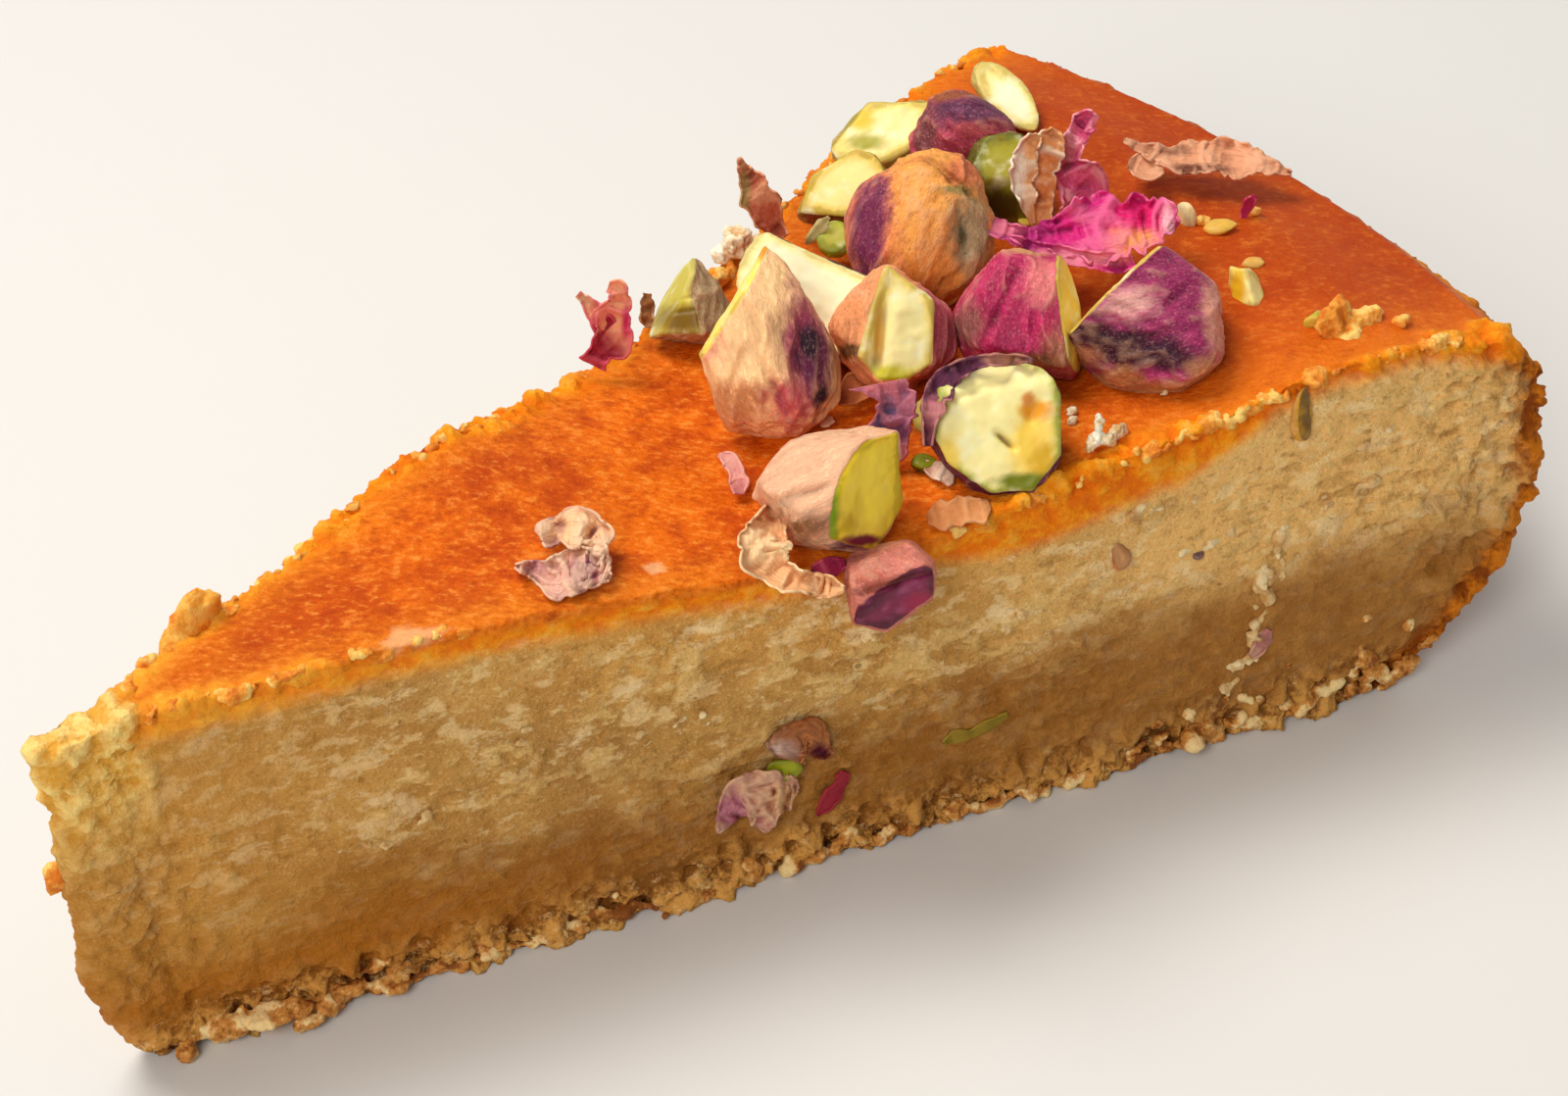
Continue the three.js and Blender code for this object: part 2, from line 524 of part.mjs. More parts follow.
const PETALS = [
  {
    name: "petal_magenta_large", color: 0xc23a7c,
    sheets: [
      {
        at: [88.2, -3.4, 35.8], lips: [0.9, 2.3], lean: -0.55,
        path: [[-7.8, 1.4, 0.3, 0.3], [-6.1, 0.6, 0.6, 0.8], [-4.2, 0.0, 0.6, 0.8],
          [-2.0, 0.0, 1.1, 1.4], [0.3, 0.4, 2.0, 2.2], [2.6, 0.8, 2.1, 2.6], [4.8, 1.1, 2.1, 2.4],
          [6.7, 1.1, 1.5, 1.4], [7.5, 0.6, 0.4, 0.5]],
      },
    ],
  },
  {
    name: "petal_cream_curl", color: 0xdba679,
    sheets: [
      {
        at: [90.8, 5.0, 35.4], lips: [1.6, 0.7], lean: 0.5,
        path: [[0.7, -3.8, 0.4, 0.5], [0.6, -2.1, 1.1, 0.6], [0.5, -0.2, 1.6, 0.9],
          [0.5, 1.6, 1.9, 1.2], [0.6, 3.1, 1.6, 1.3], [1.4, 4.2, 0.4, 0.5]],
      },
    ],
  },
  {
    name: "petal_magenta_curl", color: 0xb24672,
    sheets: [
      {
        at: [94.8, 3.8, 35.6], lips: [1.1, 1.3], lean: 0.5,
        path: [[-0.9, -3.7, 0.8, 0.6], [0.1, -2.6, 1.2, 1.3], [0.4, -1.5, 1.8, 1.6],
          [-0.6, -0.6, 1.5, 1.5], [-1.2, 0.6, 0.8, 0.9], [-0.9, 1.9, 0.7, 0.9], [-0.4, 3.0, 0.8, 1.0],
          [0.2, 3.8, 0.6, 0.9], [1.0, 3.5, 0.3, 0.4]],
      },
    ],
  },
  {
    name: "petal_tan_long", color: 0xcf9673,
    sheets: [
      {
        at: [105.0, -0.8, 34.1], lips: [0.5, 1.0], lean: -0.95,
        path: [[-7.0, 2.3, 0.1, 0.2], [-5.4, 1.5, 0.5, 0.9], [-3.5, 0.7, 0.8, 1.2],
          [-1.5, 0.7, 1.3, 1.4], [0.5, 0.7, 1.7, 1.5], [2.4, 0.5, 1.1, 1.3], [4.4, -0.1, 0.6, 0.7],
          [6.1, -0.7, 0.1, 0.1]],
      },
      {
        at: [105.0, -0.8, 34.0], lips: [1.0, 1.4], lean: -1.0,
        path: [[-6.9, 0.3, 0.3, 0.3], [-6.2, 0.1, 1.0, 0.8], [-5.2, -0.3, 1.1, 0.8],
          [-4.2, -0.2, 0.3, 0.3]],
      },
    ],
  },
  {
    name: "sepal_brown", color: 0x8a4030,
    sheets: [
      {
        at: [72.8, 17.0, 35.2], lips: [1.2, 1.2], lean: 0.5,
        path: [[1.8, -2.6, 0.5, 0.5], [1.0, -1.4, 1.1, 0.8], [0.2, 0.0, 1.3, 1.1],
          [-0.5, 1.2, 1.0, 1.0], [-1.2, 2.4, 0.5, 0.5], [-1.6, 3.4, 0.1, 0.1]],
      },
    ],
  },
  {
    name: "petal_far_edge", color: 0xb24a6a,
    sheets: [
      {
        at: [55.6, 13.8, 32.0], lips: [1.2, 1.2], lean: 0.4,
        path: [[-1.2, -2.2, 0.8, 1.2], [-0.6, -1.0, 0.9, 1.3], [0.3, 0.1, 1.2, 1.3],
          [0.6, 1.3, 1.6, 1.1], [1.05, 2.5, 0.8, 0.8], [0.9, 3.4, 0.6, 0.6], [0.1, 3.7, 0.3, 0.2]],
      },
      {
        at: [55.6, 13.8, 32.0], lips: [1.0, 1.0], lean: 0.4,
        path: [[0.1, 0.6, 0.8, 0.8], [-0.9, 1.7, 0.7, 0.7], [-1.6, 2.6, 0.4, 0.4],
          [-2.2, 3.1, 0.2, 0.2]],
      },
    ],
  },
  {
    name: "petal_pale_crumpled", color: 0xd9a59c,
    sheets: [
      {
        at: [38.6, -4.8, 32.0], lips: [0.9, 1.4], lean: -0.9,
        path: [[-1.6, 0.7, 0.4, 0.4], [-0.35, 0.8, 0.9, 0.7], [1.0, 1.0, 1.5, 1.1],
          [2.3, 0.8, 1.0, 1.3], [3.1, 0.7, 0.4, 0.4]],
      },
      {
        at: [38.6, -4.8, 31.6], lips: [0.9, 0.9], lean: -0.9,
        path: [[-3.7, -1.4, 0.1, 0.1], [-2.1, -1.7, 0.7, 0.5], [-0.7, -2.2, 1.6, 1.5],
          [1.0, -2.3, 2.0, 1.9], [2.3, -2.2, 1.3, 1.2], [3.3, -2.3, 0.3, 0.3]],
      },
    ],
  },
  {
    name: "petal_flake_pink", color: 0xd7a39a,
    sheets: [
      {
        at: [54.4, -4.6, 29.6], lips: [0.8, 0.8], lean: -1.0,
        path: [[-0.2, -1.2, 0.4, 0.4], [-0.2, -0.35, 0.6, 0.6], [-0.4, 0.6, 0.6, 0.6],
          [-0.9, 1.4, 0.5, 0.5], [-1.7, 1.7, 0.1, 0.1]],
      },
    ],
  },
  {
    name: "petal_edge_curl", color: 0xe0b98a,
    sheets: [
      {
        at: [51.6, -15.0, 30.6], lips: [1.2, 1.3], lean: -0.6,
        path: [[-1.9, 3.1, 0.4, 0.3], [-2.0, 1.9, 1.0, 1.0], [-2.4, 0.7, 1.7, 1.4],
          [-2.3, -0.5, 1.4, 1.5], [-1.3, -1.6, 0.8, 0.9], [0.1, -2.2, 0.8, 0.8], [1.7, -2.6, 0.8, 1.0],
          [3.2, -2.8, 0.2, 0.2]],
      },
    ],
  },
  {
    name: "skin_purple_flake", color: 0x8f6484,
    sheets: [
      {
        at: [65.6, -8.8, 31.8], lips: [1.0, 0.6], lean: 0.3,
        path: [[-0.65, 2.8, 1.4, 1.9], [-0.4, 1.5, 2.0, 1.1], [-0.4, 0.15, 1.8, 1.2],
          [-0.15, -1.1, 1.3, 1.8], [0.15, -2.2, 0.6, 0.5], [0.0, -3.3, 0.1, 0.1]],
      },
    ],
  },
];

// Putting the slice together.
// Every piece stays clear of the crust and of the pieces placed before it.
function overlaps(a, b) {
  const p = a.boundingBox();
  const q = b.boundingBox();
  return [0, 1, 2].every((k) => p.min[k] < q.max[k] && q.min[k] < p.max[k]);
}

function largestPart(solid) {
  const parts = solid.decompose();
  parts.sort((a, b) => b.volume() - a.volume());
  return parts[0];
}

function clearOf(solid, others) {
  let left = solid;
  for (const other of others) {
    if (overlaps(left, other)) left = left.subtract(other);
  }
  return largestPart(left).simplify(0.01);
}

const group = new THREE.Group();
group.name = "persian_love_cake_slice";

function addMesh(solid, name, color, roughness) {
  const mesh = solid.translate([-CENTRE_X, 0, 0]).getMesh();
  const geometry = new THREE.BufferGeometry();
  const coords = new THREE.BufferAttribute(new Float32Array(mesh.vertProperties), 3);
  geometry.setAttribute("position", coords);
  geometry.setIndex(Array.from(mesh.triVerts));
  geometry.computeVertexNormals();
  const material = new THREE.MeshStandardMaterial({ color, roughness, metalness: 0 });
  const item = new THREE.Mesh(geometry, material);
  item.name = name;
  group.add(item);
}

addMesh(makeBase(), "crumb_base", 0xb98642, 0.9);
addMesh(makeCake(), "cake_layer", 0xd9a860, 0.8);

// The crust raised by the gap, down to well inside the cake.
const ground = wedge(
  () => 16,
  (r, side) => crustHeight(r, side) + GAP,
  5,
  CRUST_RINGS,
  (x, y, z) => cakeRough(x, y, z) + GAP,
);
const taken = [ground];
for (const spec of KERNELS) {
  addMesh(clearOf(kernel(spec, 0), taken), spec.name, spec.color, 0.55);
  taken.push(kernel(spec, GAP));
}
for (const spec of PETALS) {
  addMesh(clearOf(petal(spec, 0), taken), spec.name, spec.color, 0.7);
  taken.push(petal(spec, GAP));
}

export default group;
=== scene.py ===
import itertools
import math

import bpy
import numpy as np
from mathutils import Matrix, Vector


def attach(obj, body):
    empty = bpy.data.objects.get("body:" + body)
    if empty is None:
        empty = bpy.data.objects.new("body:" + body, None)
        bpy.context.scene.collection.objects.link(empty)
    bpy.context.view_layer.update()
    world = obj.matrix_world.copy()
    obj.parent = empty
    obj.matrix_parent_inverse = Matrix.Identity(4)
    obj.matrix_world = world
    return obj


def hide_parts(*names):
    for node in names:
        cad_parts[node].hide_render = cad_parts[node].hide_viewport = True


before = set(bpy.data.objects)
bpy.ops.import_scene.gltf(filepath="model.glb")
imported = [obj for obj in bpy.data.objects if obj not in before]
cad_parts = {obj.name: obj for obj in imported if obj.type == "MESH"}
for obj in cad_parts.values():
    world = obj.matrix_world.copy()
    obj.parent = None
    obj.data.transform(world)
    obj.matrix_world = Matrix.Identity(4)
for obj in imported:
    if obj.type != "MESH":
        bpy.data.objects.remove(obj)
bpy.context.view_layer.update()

# The camera looks down on the near cut face, tip of the slice to the left.
# Its angle, distance and lens come from the corners of the wedge.
MM = 0.001
CAMERA_AZIMUTH = math.radians(-36.05)
CAMERA_ELEVATION = math.radians(38.02)
CAMERA_ROLL = math.radians(-2.55)
CAMERA_DISTANCE = 280.5 * MM
CAMERA_LENS = 78.8
SENSOR_WIDTH = 36
LOOKS_AT = Vector((10.84, 9.53, 7.6)) * MM

level = math.cos(CAMERA_ELEVATION)
back = Vector(
    (math.sin(CAMERA_AZIMUTH) * level, -math.cos(CAMERA_AZIMUTH) * level, math.sin(CAMERA_ELEVATION))
)
right = Vector((0, 0, 1)).cross(back).normalized()
turn = Matrix((right, back.cross(right), back)).transposed().to_4x4()
bpy.ops.object.camera_add()
camera = bpy.context.object
camera.data.sensor_width = SENSOR_WIDTH
camera.data.lens = CAMERA_LENS
camera.data.clip_start = 10 * MM
camera.matrix_world = (
    Matrix.Translation(LOOKS_AT + back * CAMERA_DISTANCE) @ turn @ Matrix.Rotation(CAMERA_ROLL, 4, "Z")
)
bpy.context.scene.camera = camera
bpy.context.scene.view_settings.view_transform = "Standard"

# The studio: a pale floor that runs on to the horizon, a large soft light
# above and behind the slice, one on the camera's left and a weak one behind
# the rim.
FLOOR_SIZE = 6.0
FLOOR_DROP = 0.1 * MM
FLOOR_SHADE = (0.72, 0.71, 0.69, 1)
FLOOR_ROUGHNESS = 0.8
LIGHTS_AIM = Vector((0.02, 0, 0.02))
WORLD_SHADE = (1, 0.98, 0.96, 1)
WORLD_STRENGTH = 0.24
bpy.ops.mesh.primitive_plane_add(size=FLOOR_SIZE, location=(0, 0, -FLOOR_DROP))
floor = bpy.context.object
floor_paint = bpy.data.materials.new("floor")
floor_paint.use_nodes = True
floor_shader = floor_paint.node_tree.nodes["Principled BSDF"]
floor_shader.inputs["Base Color"].default_value = FLOOR_SHADE
floor_shader.inputs["Roughness"].default_value = FLOOR_ROUGHNESS
floor.data.materials.append(floor_paint)


def soft_light(place, width, power, tint):
    bpy.ops.object.light_add(type="AREA", location=place)
    light = bpy.context.object
    light.data.size = width
    light.data.energy = power
    light.data.color = tint
    light.rotation_euler = (LIGHTS_AIM - Vector(place)).to_track_quat("-Z", "Y").to_euler()
    return light


key = soft_light((-0.1, 0.22, 0.5), 0.28, 2.5, (1.0, 0.96, 0.9))
fill = soft_light((-0.42, -0.28, 0.42), 0.25, 1.9, (1.0, 0.97, 0.92))
rim_light = soft_light((0.55, 0.1, 0.35), 0.4, 0.7, (1.0, 0.96, 0.9))
world = bpy.data.worlds.new("studio")
world.use_nodes = True
world.node_tree.nodes["Background"].inputs["Color"].default_value = WORLD_SHADE
world.node_tree.nodes["Background"].inputs["Strength"].default_value = WORLD_STRENGTH
bpy.context.scene.world = world

# The cake is a dense almond sponge, baked in one round with the base under
# it and cut with a knife. In the oven its top browned to a thin leathery
# crust, which sank in the middle as it cooled.
CAKE_RADIUS = 112  # millimetres, as all lengths of the food below
HALF_ANGLE = math.radians(15.8)
TIP_TO_MIDDLE = 57.4  # the row's origin is this far from the tip
CRUST_HEIGHT = 31.5
SAG, SAG_AT, SAG_WIDTH = 3.5, 62, 19  # the sunken middle of the crust
SWELL, SWELL_AT, SWELL_WIDTH = 1.9, 38, 9  # a rise in its far half
RIM_LIFT, LIFT_FROM, LIFT_TO = 1.9, 84, 98
SHOULDER, SHOULDER_FROM = 1.6, 101  # rounds the crust off at the rim
BULGE, BULGE_AT = 3.6, 21.2  # of the rim wall
FOOT_TUCK, TOP_TUCK, TOP_REACH = 12, 5, 11  # how far the wall goes in under and over it
NOSE_WIDTH, NOSE_STRETCH, NOSE_AT = 3.2, 2.1, 2.2  # the blunt end of the tip
TIP_WORN, TIP_WORN_UP_TO = 3.2, 10  # how far its foot broke away, and how high up
LAYER_HEIGHT = 11.4
LAYER_TIP, LAYER_TIP_WIDTH = 1.3, 12  # the layer line is higher at the tip
LAYER_DIP, LAYER_DIP_AT, LAYER_DIP_WIDTH = 1.4, 32, 16  # dips behind it
LAYER_RISE, RISE_FROM, RISE_TO = 2.4, 45, 104  # and rises to the rim
CAKE_FLAT = 20  # the height it has before it is shaped
OVERLAP = 0.4  # of the cake and the base at the layer line
SLICE_VOXEL = 0.27
MOST_FACES = 196000  # of one piece
TIP = np.array((TIP_TO_MIDDLE, 0, 0))


def smooth(value, low, high):
    part = np.clip((value - low) / (high - low), 0, 1)
    return part * part * (3 - 2 * part)


def hill(gap, width):
    """1 where the gap is 0, and falls off to either side."""
    return np.exp(-((gap / width) ** 2))


def crust_height(r, side):
    sag = SAG * hill(r - SAG_AT - 2 * side, SAG_WIDTH)
    lift = RIM_LIFT * smooth(r, LIFT_FROM, LIFT_TO) * (0.5 - 0.4 * side)
    swell = SWELL * np.maximum(side, 0) * hill(r - SWELL_AT, SWELL_WIDTH)
    shoulder = SHOULDER * smooth(r, SHOULDER_FROM, CAKE_RADIUS) ** 2
    return CRUST_HEIGHT - sag + lift + swell - shoulder


def layer_height(r):
    tip = LAYER_TIP * hill(r, LAYER_TIP_WIDTH)
    dip = -LAYER_DIP * hill(r - LAYER_DIP_AT, LAYER_DIP_WIDTH)
    return LAYER_HEIGHT + tip + dip + LAYER_RISE * smooth(r, RISE_FROM, RISE_TO)


def rim_radius(z):
    low = np.clip(1 - z / BULGE_AT, 0, 1)
    high = np.clip((z - BULGE_AT) / TOP_REACH, 0, 1.1)
    return CAKE_RADIUS + BULGE - FOOT_TUCK * low**2.3 - TOP_TUCK * high**3


def scatter(cell, seed):
    """A steady random number from 0 to 1 for each whole cell."""
    mixed = cell[:, 0] * 73856093 ^ cell[:, 1] * 19349663 ^ cell[:, 2] * 83492791 ^ seed * 2654435
    mixed = ((mixed ^ (mixed >> 13)) * 1274126177) & 0xFFFFFFFF
    return ((mixed ^ (mixed >> 15)) & 0xFFFF) / 0xFFFF


def lattice(points, pitch, seed):
    """Soft random heights from -1 to 1, one hill about every pitch."""
    place = points / pitch
    cell = np.floor(place).astype(np.int64)
    part = place - cell
    part = part * part * (3 - 2 * part)
    total = np.zeros(len(points))
    for corner in itertools.product((0, 1), repeat=3):
        share = np.where(np.array(corner), part, 1 - part).prod(axis=1)
        total += share * (2 * scatter(cell + np.array(corner), seed) - 1)
    return total


def craggy(points, pitch, seed):
    """Broken ground from -1 to 1, its largest lumps a pitch apart."""
    total = np.zeros(len(points))
    for octave in range(4):
        total += lattice(points, pitch / 2**octave, seed + octave) / 1.8**octave
    return total / 1.6


def read_points(piece):
    """The piece's points in millimetres from the tip of the slice."""
    flat = np.empty(len(piece.data.vertices) * 3)
    piece.data.vertices.foreach_get("co", flat)
    return flat.reshape(-1, 3) / MM + TIP


def read_normals(piece):
    flat = np.empty(len(piece.data.vertices) * 3, dtype=np.float32)
    piece.data.vertex_normals.foreach_get("vector", flat)
    return flat.reshape(-1, 3).astype(float)


def write_points(piece, points):
    flat = (points - TIP) * MM
    piece.data.vertices.foreach_set("co", flat.ravel())
    piece.data.update()


def store(piece, **kept):
    """Keeps a number or a vector of each point under its name, for the paint."""
    for name, values in kept.items():
        kind, field = ("FLOAT", "value") if values.ndim == 1 else ("FLOAT_VECTOR", "vector")
        made = piece.data.attributes.new(name, kind, "POINT")
        made.data.foreach_set(field, values.astype(np.float32).ravel())


def pick(*pieces):
    """Selects these pieces alone and makes the first one active."""
    bpy.ops.object.select_all(action="DESELECT")
    for piece in pieces:
        piece.select_set(True)
    bpy.context.view_layer.objects.active = pieces[0]


def settle(piece):
    """Puts the object at the origin, with its place in its mesh."""
    pick(piece)
    bpy.ops.object.transform_apply(location=True, rotation=True, scale=True)


def polish(piece):
    pick(piece)
    bpy.ops.object.shade_smooth()


def modifier(piece, kind, **settings):
    bpy.context.view_layer.objects.active = piece
    made = piece.modifiers.new(kind.lower(), kind)
    for key_word, value in settings.items():
        setattr(made, key_word, value)
    bpy.ops.object.modifier_apply(modifier=made.name)


def cut_wedge(name, height):
    """A round cake of this height, cut down to one wedge with a blunt tip."""
    bpy.ops.object.select_all(action="DESELECT")
    reach = CAKE_RADIUS * MM
    start = -TIP_TO_MIDDLE * MM
    bpy.ops.mesh.primitive_cylinder_add(
        vertices=360, radius=reach, depth=height * MM, location=(start, 0, height / 2 * MM)
    )
    slice_ = bpy.context.object
    slice_.name = name
    settle(slice_)
    bpy.ops.object.mode_set(mode="EDIT")
    for side in (-1, 1):
        bpy.ops.mesh.select_all(action="SELECT")
        normal = (-math.sin(HALF_ANGLE), side * math.cos(HALF_ANGLE), 0)
        bpy.ops.mesh.bisect(plane_co=(start, 0, 0), plane_no=normal, use_fill=True, clear_outer=True)
    bpy.ops.object.mode_set(mode="OBJECT")
    bpy.ops.mesh.primitive_cylinder_add(
        vertices=32, radius=NOSE_WIDTH / 2 * MM, depth=height * MM,
        location=(start + NOSE_AT * MM, 0, height / 2 * MM),
    )
    nose = bpy.context.object
    nose.scale.x = NOSE_STRETCH
    pick(slice_, nose)
    bpy.ops.object.join()
    settle(slice_)
    return slice_


def from_tip(points):
    """How far out each point is, and -1 on the near cut face to 1 on the far one."""
    r = np.hypot(points[:, 0], points[:, 1])
    side = np.clip(np.arctan2(points[:, 1], np.maximum(points[:, 0], 0.5)) / HALF_ANGLE, -1, 1)
    return r, side * smooth(r, 4, 20)


def behind_cut(points):
    """How deep each point lies behind the nearer cut face."""
    return points[:, 0] * math.sin(HALF_ANGLE) - np.abs(points[:, 1]) * math.cos(HALF_ANGLE)


def shape_slice(piece, height, floor_at, roof_at):
    """Raises the flat wedge to its sunken crust and bulging rim wall."""
    points = read_points(piece)
    r, side = from_tip(points)
    low = floor_at(r, side)
    high = roof_at(r, side)
    points[:, 2] = low + (high - low) * np.clip(points[:, 2] / height, 0, 1)
    stretch = 1 + (rim_radius(points[:, 2]) / CAKE_RADIUS - 1) * smooth(r, 60, CAKE_RADIUS)
    points[:, :2] *= stretch[:, None]
    write_points(piece, points)


def weather_cut(piece):
    """Torn crumb on the cut faces, coarse at the foot and along the crust."""
    points = read_points(piece)
    normals = read_normals(piece)
    r, side = from_tip(points)
    below = crust_height(r, side) - points[:, 2]
    wall = smooth(np.abs(normals[:, 2]), 0.8, 0.4)
    uneven_edge = 1.2 * lattice(points, 2.5, 23) + 2 * lattice(points, 9, 24)
    calm = smooth(r, 16, 26) * smooth(r, 72, 60) * (points[:, 1] < 0)
    lip = smooth(behind_cut(points) + uneven_edge, 2.4, 0.6) * smooth(below, 2.0, 0.5) * (1 - calm)
    bare_tip = 1 - smooth(points[:, 0] + 2.5 * craggy(points, 5, 21), 5.5, 8)
    rough = np.maximum.reduce((wall, bare_tip, lip))
    worn = np.nonzero(rough > 0.02)[0]
    spot = points[worn]
    drawn = spot * np.array((0.45, 0.45, 1.25))
    foot = (1 - smooth(spot[:, 2] + 1.6 * lattice(spot, 6, 8), 1.6, 5.6)) * smooth(spot[:, 0], -4, 8)
    outer = smooth(r[worn], CAKE_RADIUS - 12, CAKE_RADIUS)
    near_crust = smooth(below[worn], 3.2, 0.8) * (1 - 0.8 * calm[worn])
    torn = smooth(lattice(drawn, 7, 14) + 0.4 * lattice(drawn, 3, 15) + 0.4 * outer, -0.3, 0.6)
    plate = craggy(drawn, 1.5, 16)
    fleck = smooth(plate, 0.16, 0.26) * (0.25 + 0.75 * torn)
    pit = smooth(plate, -0.34, -0.48) * (0.2 + 0.8 * torn)
    crumble = craggy(spot, 1.0, 17)
    coarse = craggy(spot, 2.4, 18)
    tip = bare_tip[worn] * smooth(below[worn], 12, 4)
    ragged = np.maximum.reduce((foot, 0.2 * bare_tip[worn], 0.45 * tip, 0.4 * near_crust, 0.5 * outer))
    push = 0.25 * lattice(drawn, 6, 5) + 0.2 * fleck - 0.16 * pit + (0.16 + 0.14 * torn) * crumble
    push += ragged * (1.3 * coarse + 0.9 * crumble + 0.4 * smooth(coarse, 0.02, 0.1))
    points[worn] += normals[worn] * (rough[worn] * push)[:, None]
    write_points(piece, points)
    for name, values in (
        ("grain", crumble + 0.6 * ragged * coarse), ("fleck", fleck - 0.6 * pit),
        ("bare", bare_tip[worn]), ("lip", lip[worn]),
    ):
        full = np.zeros(len(points))
        full[worn] = values
        store(piece, **{name: full})


def wear_foot_of_tip(piece):
    """The lowest part of the tip broke away when the slice was lifted."""
    points = read_points(piece)
    low = np.clip(1 - points[:, 2] / TIP_WORN_UP_TO, 0, 1)
    points[:, 0] += TIP_WORN * low * smooth(points[:, 0], 14, 0)
    write_points(piece, points)


def thin_out(piece):
    """Fewer faces where the surface is even, as on the crust and under the foot."""
    faces = sum(len(polygon.vertices) - 2 for polygon in piece.data.polygons)
    modifier(piece, "DECIMATE", ratio=MOST_FACES / faces)


def make_slice(name, height, floor_at, roof_at):
    """One layer of the slice, from a flat wedge to its worn faces."""
    piece = cut_wedge(name, height)
    modifier(piece, "REMESH", mode="VOXEL", voxel_size=SLICE_VOXEL * MM, adaptivity=0)
    shape_slice(piece, height, floor_at, roof_at)
    modifier(piece, "SMOOTH", factor=0.5, iterations=2)
    wear_foot_of_tip(piece)
    weather_cut(piece)
    points = read_points(piece)
    points[:, 2] = np.maximum(points[:, 2], 0)
    write_points(piece, points)
    thin_out(piece)
    polish(piece)
    return piece


cake = make_slice("cake", CAKE_FLAT, lambda r, side: layer_height(r) - OVERLAP, crust_height)


def shade(color):
    """A colour given as 0 to 255, as it looks on paper; a socket stays as it is."""
    if isinstance(color, Value) or len(color) == 4:
        return color
    return tuple(((c / 255 + 0.055) / 1.055) ** 2.4 for c in color) + (1,)


class Value:
    """A socket of a material that sums and products take like a number."""

    def __init__(self, paint, socket):
        self.paint = paint
        self.socket = socket

    def maths(self, operation, first, second=0.0):
        return self.paint.add("ShaderNodeMath", {"operation": operation}, {0: first, 1: second})

    def __add__(self, other):
        return self.maths("ADD", self, other)

    def __radd__(self, other):
        return self.maths("ADD", other, self)

    def __sub__(self, other):
        return self.maths("SUBTRACT", self, other)

    def __rsub__(self, other):
        return self.maths("SUBTRACT", other, self)

    def __mul__(self, other):
        return self.maths("MULTIPLY", self, other)

    def __rmul__(self, other):
        return self.maths("MULTIPLY", other, self)

    def __pow__(self, other):
        return self.maths("POWER", self, other)

    def __rpow__(self, other):
        return self.maths("POWER", other, self)

    def rise(self, low, high):
        """0 below low, 1 above high and a soft step between."""
        limits = {"Value": self, "From Min": low, "From Max": high}
        return self.paint.add("ShaderNodeMapRange", {"interpolation_type": "SMOOTHSTEP"}, limits)

    def larger(self, other):
        return self.maths("MAXIMUM", self, other)


class Paint:
    """A material being made. Lengths on the food are in millimetres."""

    def __init__(self, name):
        self.material = bpy.data.materials.new(name)
        self.material.use_nodes = True
        self.tree = self.material.node_tree
        self.shader = self.tree.nodes["Principled BSDF"]
        self.place = self.add("ShaderNodeTexCoord", {}, {}, "Object")

    def add(self, kind, settings, inputs, output=0):
        node = self.tree.nodes.new(kind)
        for key_word, value in settings.items():
            setattr(node, key_word, value)
        for key_word, value in inputs.items():
            socket = node.inputs[key_word]
            if isinstance(value, Value):
                self.tree.links.new(value.socket, socket)
            else:
                socket.default_value = value
        return Value(self, node.outputs[output])

    def mix(self, share, first, second, blend="MIX"):
        settings = {"data_type": "RGBA", "blend_type": blend}
        return self.add("ShaderNodeMix", settings, {0: share, 6: shade(first), 7: shade(second)}, 2)

    def coat(self, color, *coats):
        """The colour with others laid over it in turn, each by its share."""
        for share, over in coats:
            color = self.mix(share, color, over)
        return color

    def dimmed(self, color, share):
        """The colour at this share of its brightness."""
        return self.mix(1.0, color, (share, share, share, 1), "MULTIPLY")

    def noise(self, vector, scale, **inputs):
        values = {"Vector": vector, "Scale": scale, **inputs}
        return self.add("ShaderNodeTexNoise", {}, values)

    def drawn_out(self, vector, **inputs):
        """The vector with its noise stretched, turned or moved."""
        return self.add("ShaderNodeMapping", {"vector_type": "TEXTURE"}, {"Vector": vector, **inputs})

    def spots(self, pitch, detail=2.0, rough=0.5, stretch=(1, 1, 1), turn=0.0, seed=0.0):
        """Noise around 0.5 with spots about a pitch apart, drawn out by stretch."""
        place = self.drawn_out(self.place, Rotation=(0, 0, turn), Scale=stretch, Location=(seed, 0, 0))
        return self.noise(place, 1 / (pitch * MM), Detail=detail, Roughness=rough)

    def named(self, attribute, output="Fac"):
        return self.add("ShaderNodeAttribute", {"attribute_name": attribute}, {}, output)

    def parts(self, vector):
        """The first two parts of a vector."""
        first = self.add("ShaderNodeSeparateXYZ", {}, {"Vector": vector}, "X")
        return first, Value(self, first.socket.node.outputs["Y"])

    def bump(self, height, depth):
        inputs = {"Height": height, "Distance": depth * MM, "Strength": 1.0}
        return self.add("ShaderNodeBump", {}, inputs)

    def finish(self, color, roughness, normal, glow, glow_depth, shine):
        """Glow is the light that spreads under the surface, this many millimetres deep."""
        values = {
            "Base Color": color, "Roughness": roughness, "Normal": normal, "Subsurface Weight": glow,
            "Subsurface Scale": glow_depth * MM, "Specular IOR Level": shine,
        }
        for key_word, value in values.items():
            if isinstance(value, Value):
                self.tree.links.new(value.socket, self.shader.inputs[key_word])
            else:
                self.shader.inputs[key_word].default_value = value
        return self.material


# Painted sheen: pale pinkish patches where the crust reflects the light.
SHEEN_SPOTS = ((25.2, -6.5, 3.0, 0.8), (43.4, -9.4, 0.8, 0.9), (47.2, -10.1, 0.8, 0.7))  # place and size


def along_and_across(gaps, turned):
    """Lengths along and across a direction, from places on a plane."""
    ahead = np.array((math.cos(turned), math.sin(turned)))
    return gaps @ ahead, gaps @ np.array((-ahead[1], ahead[0]))


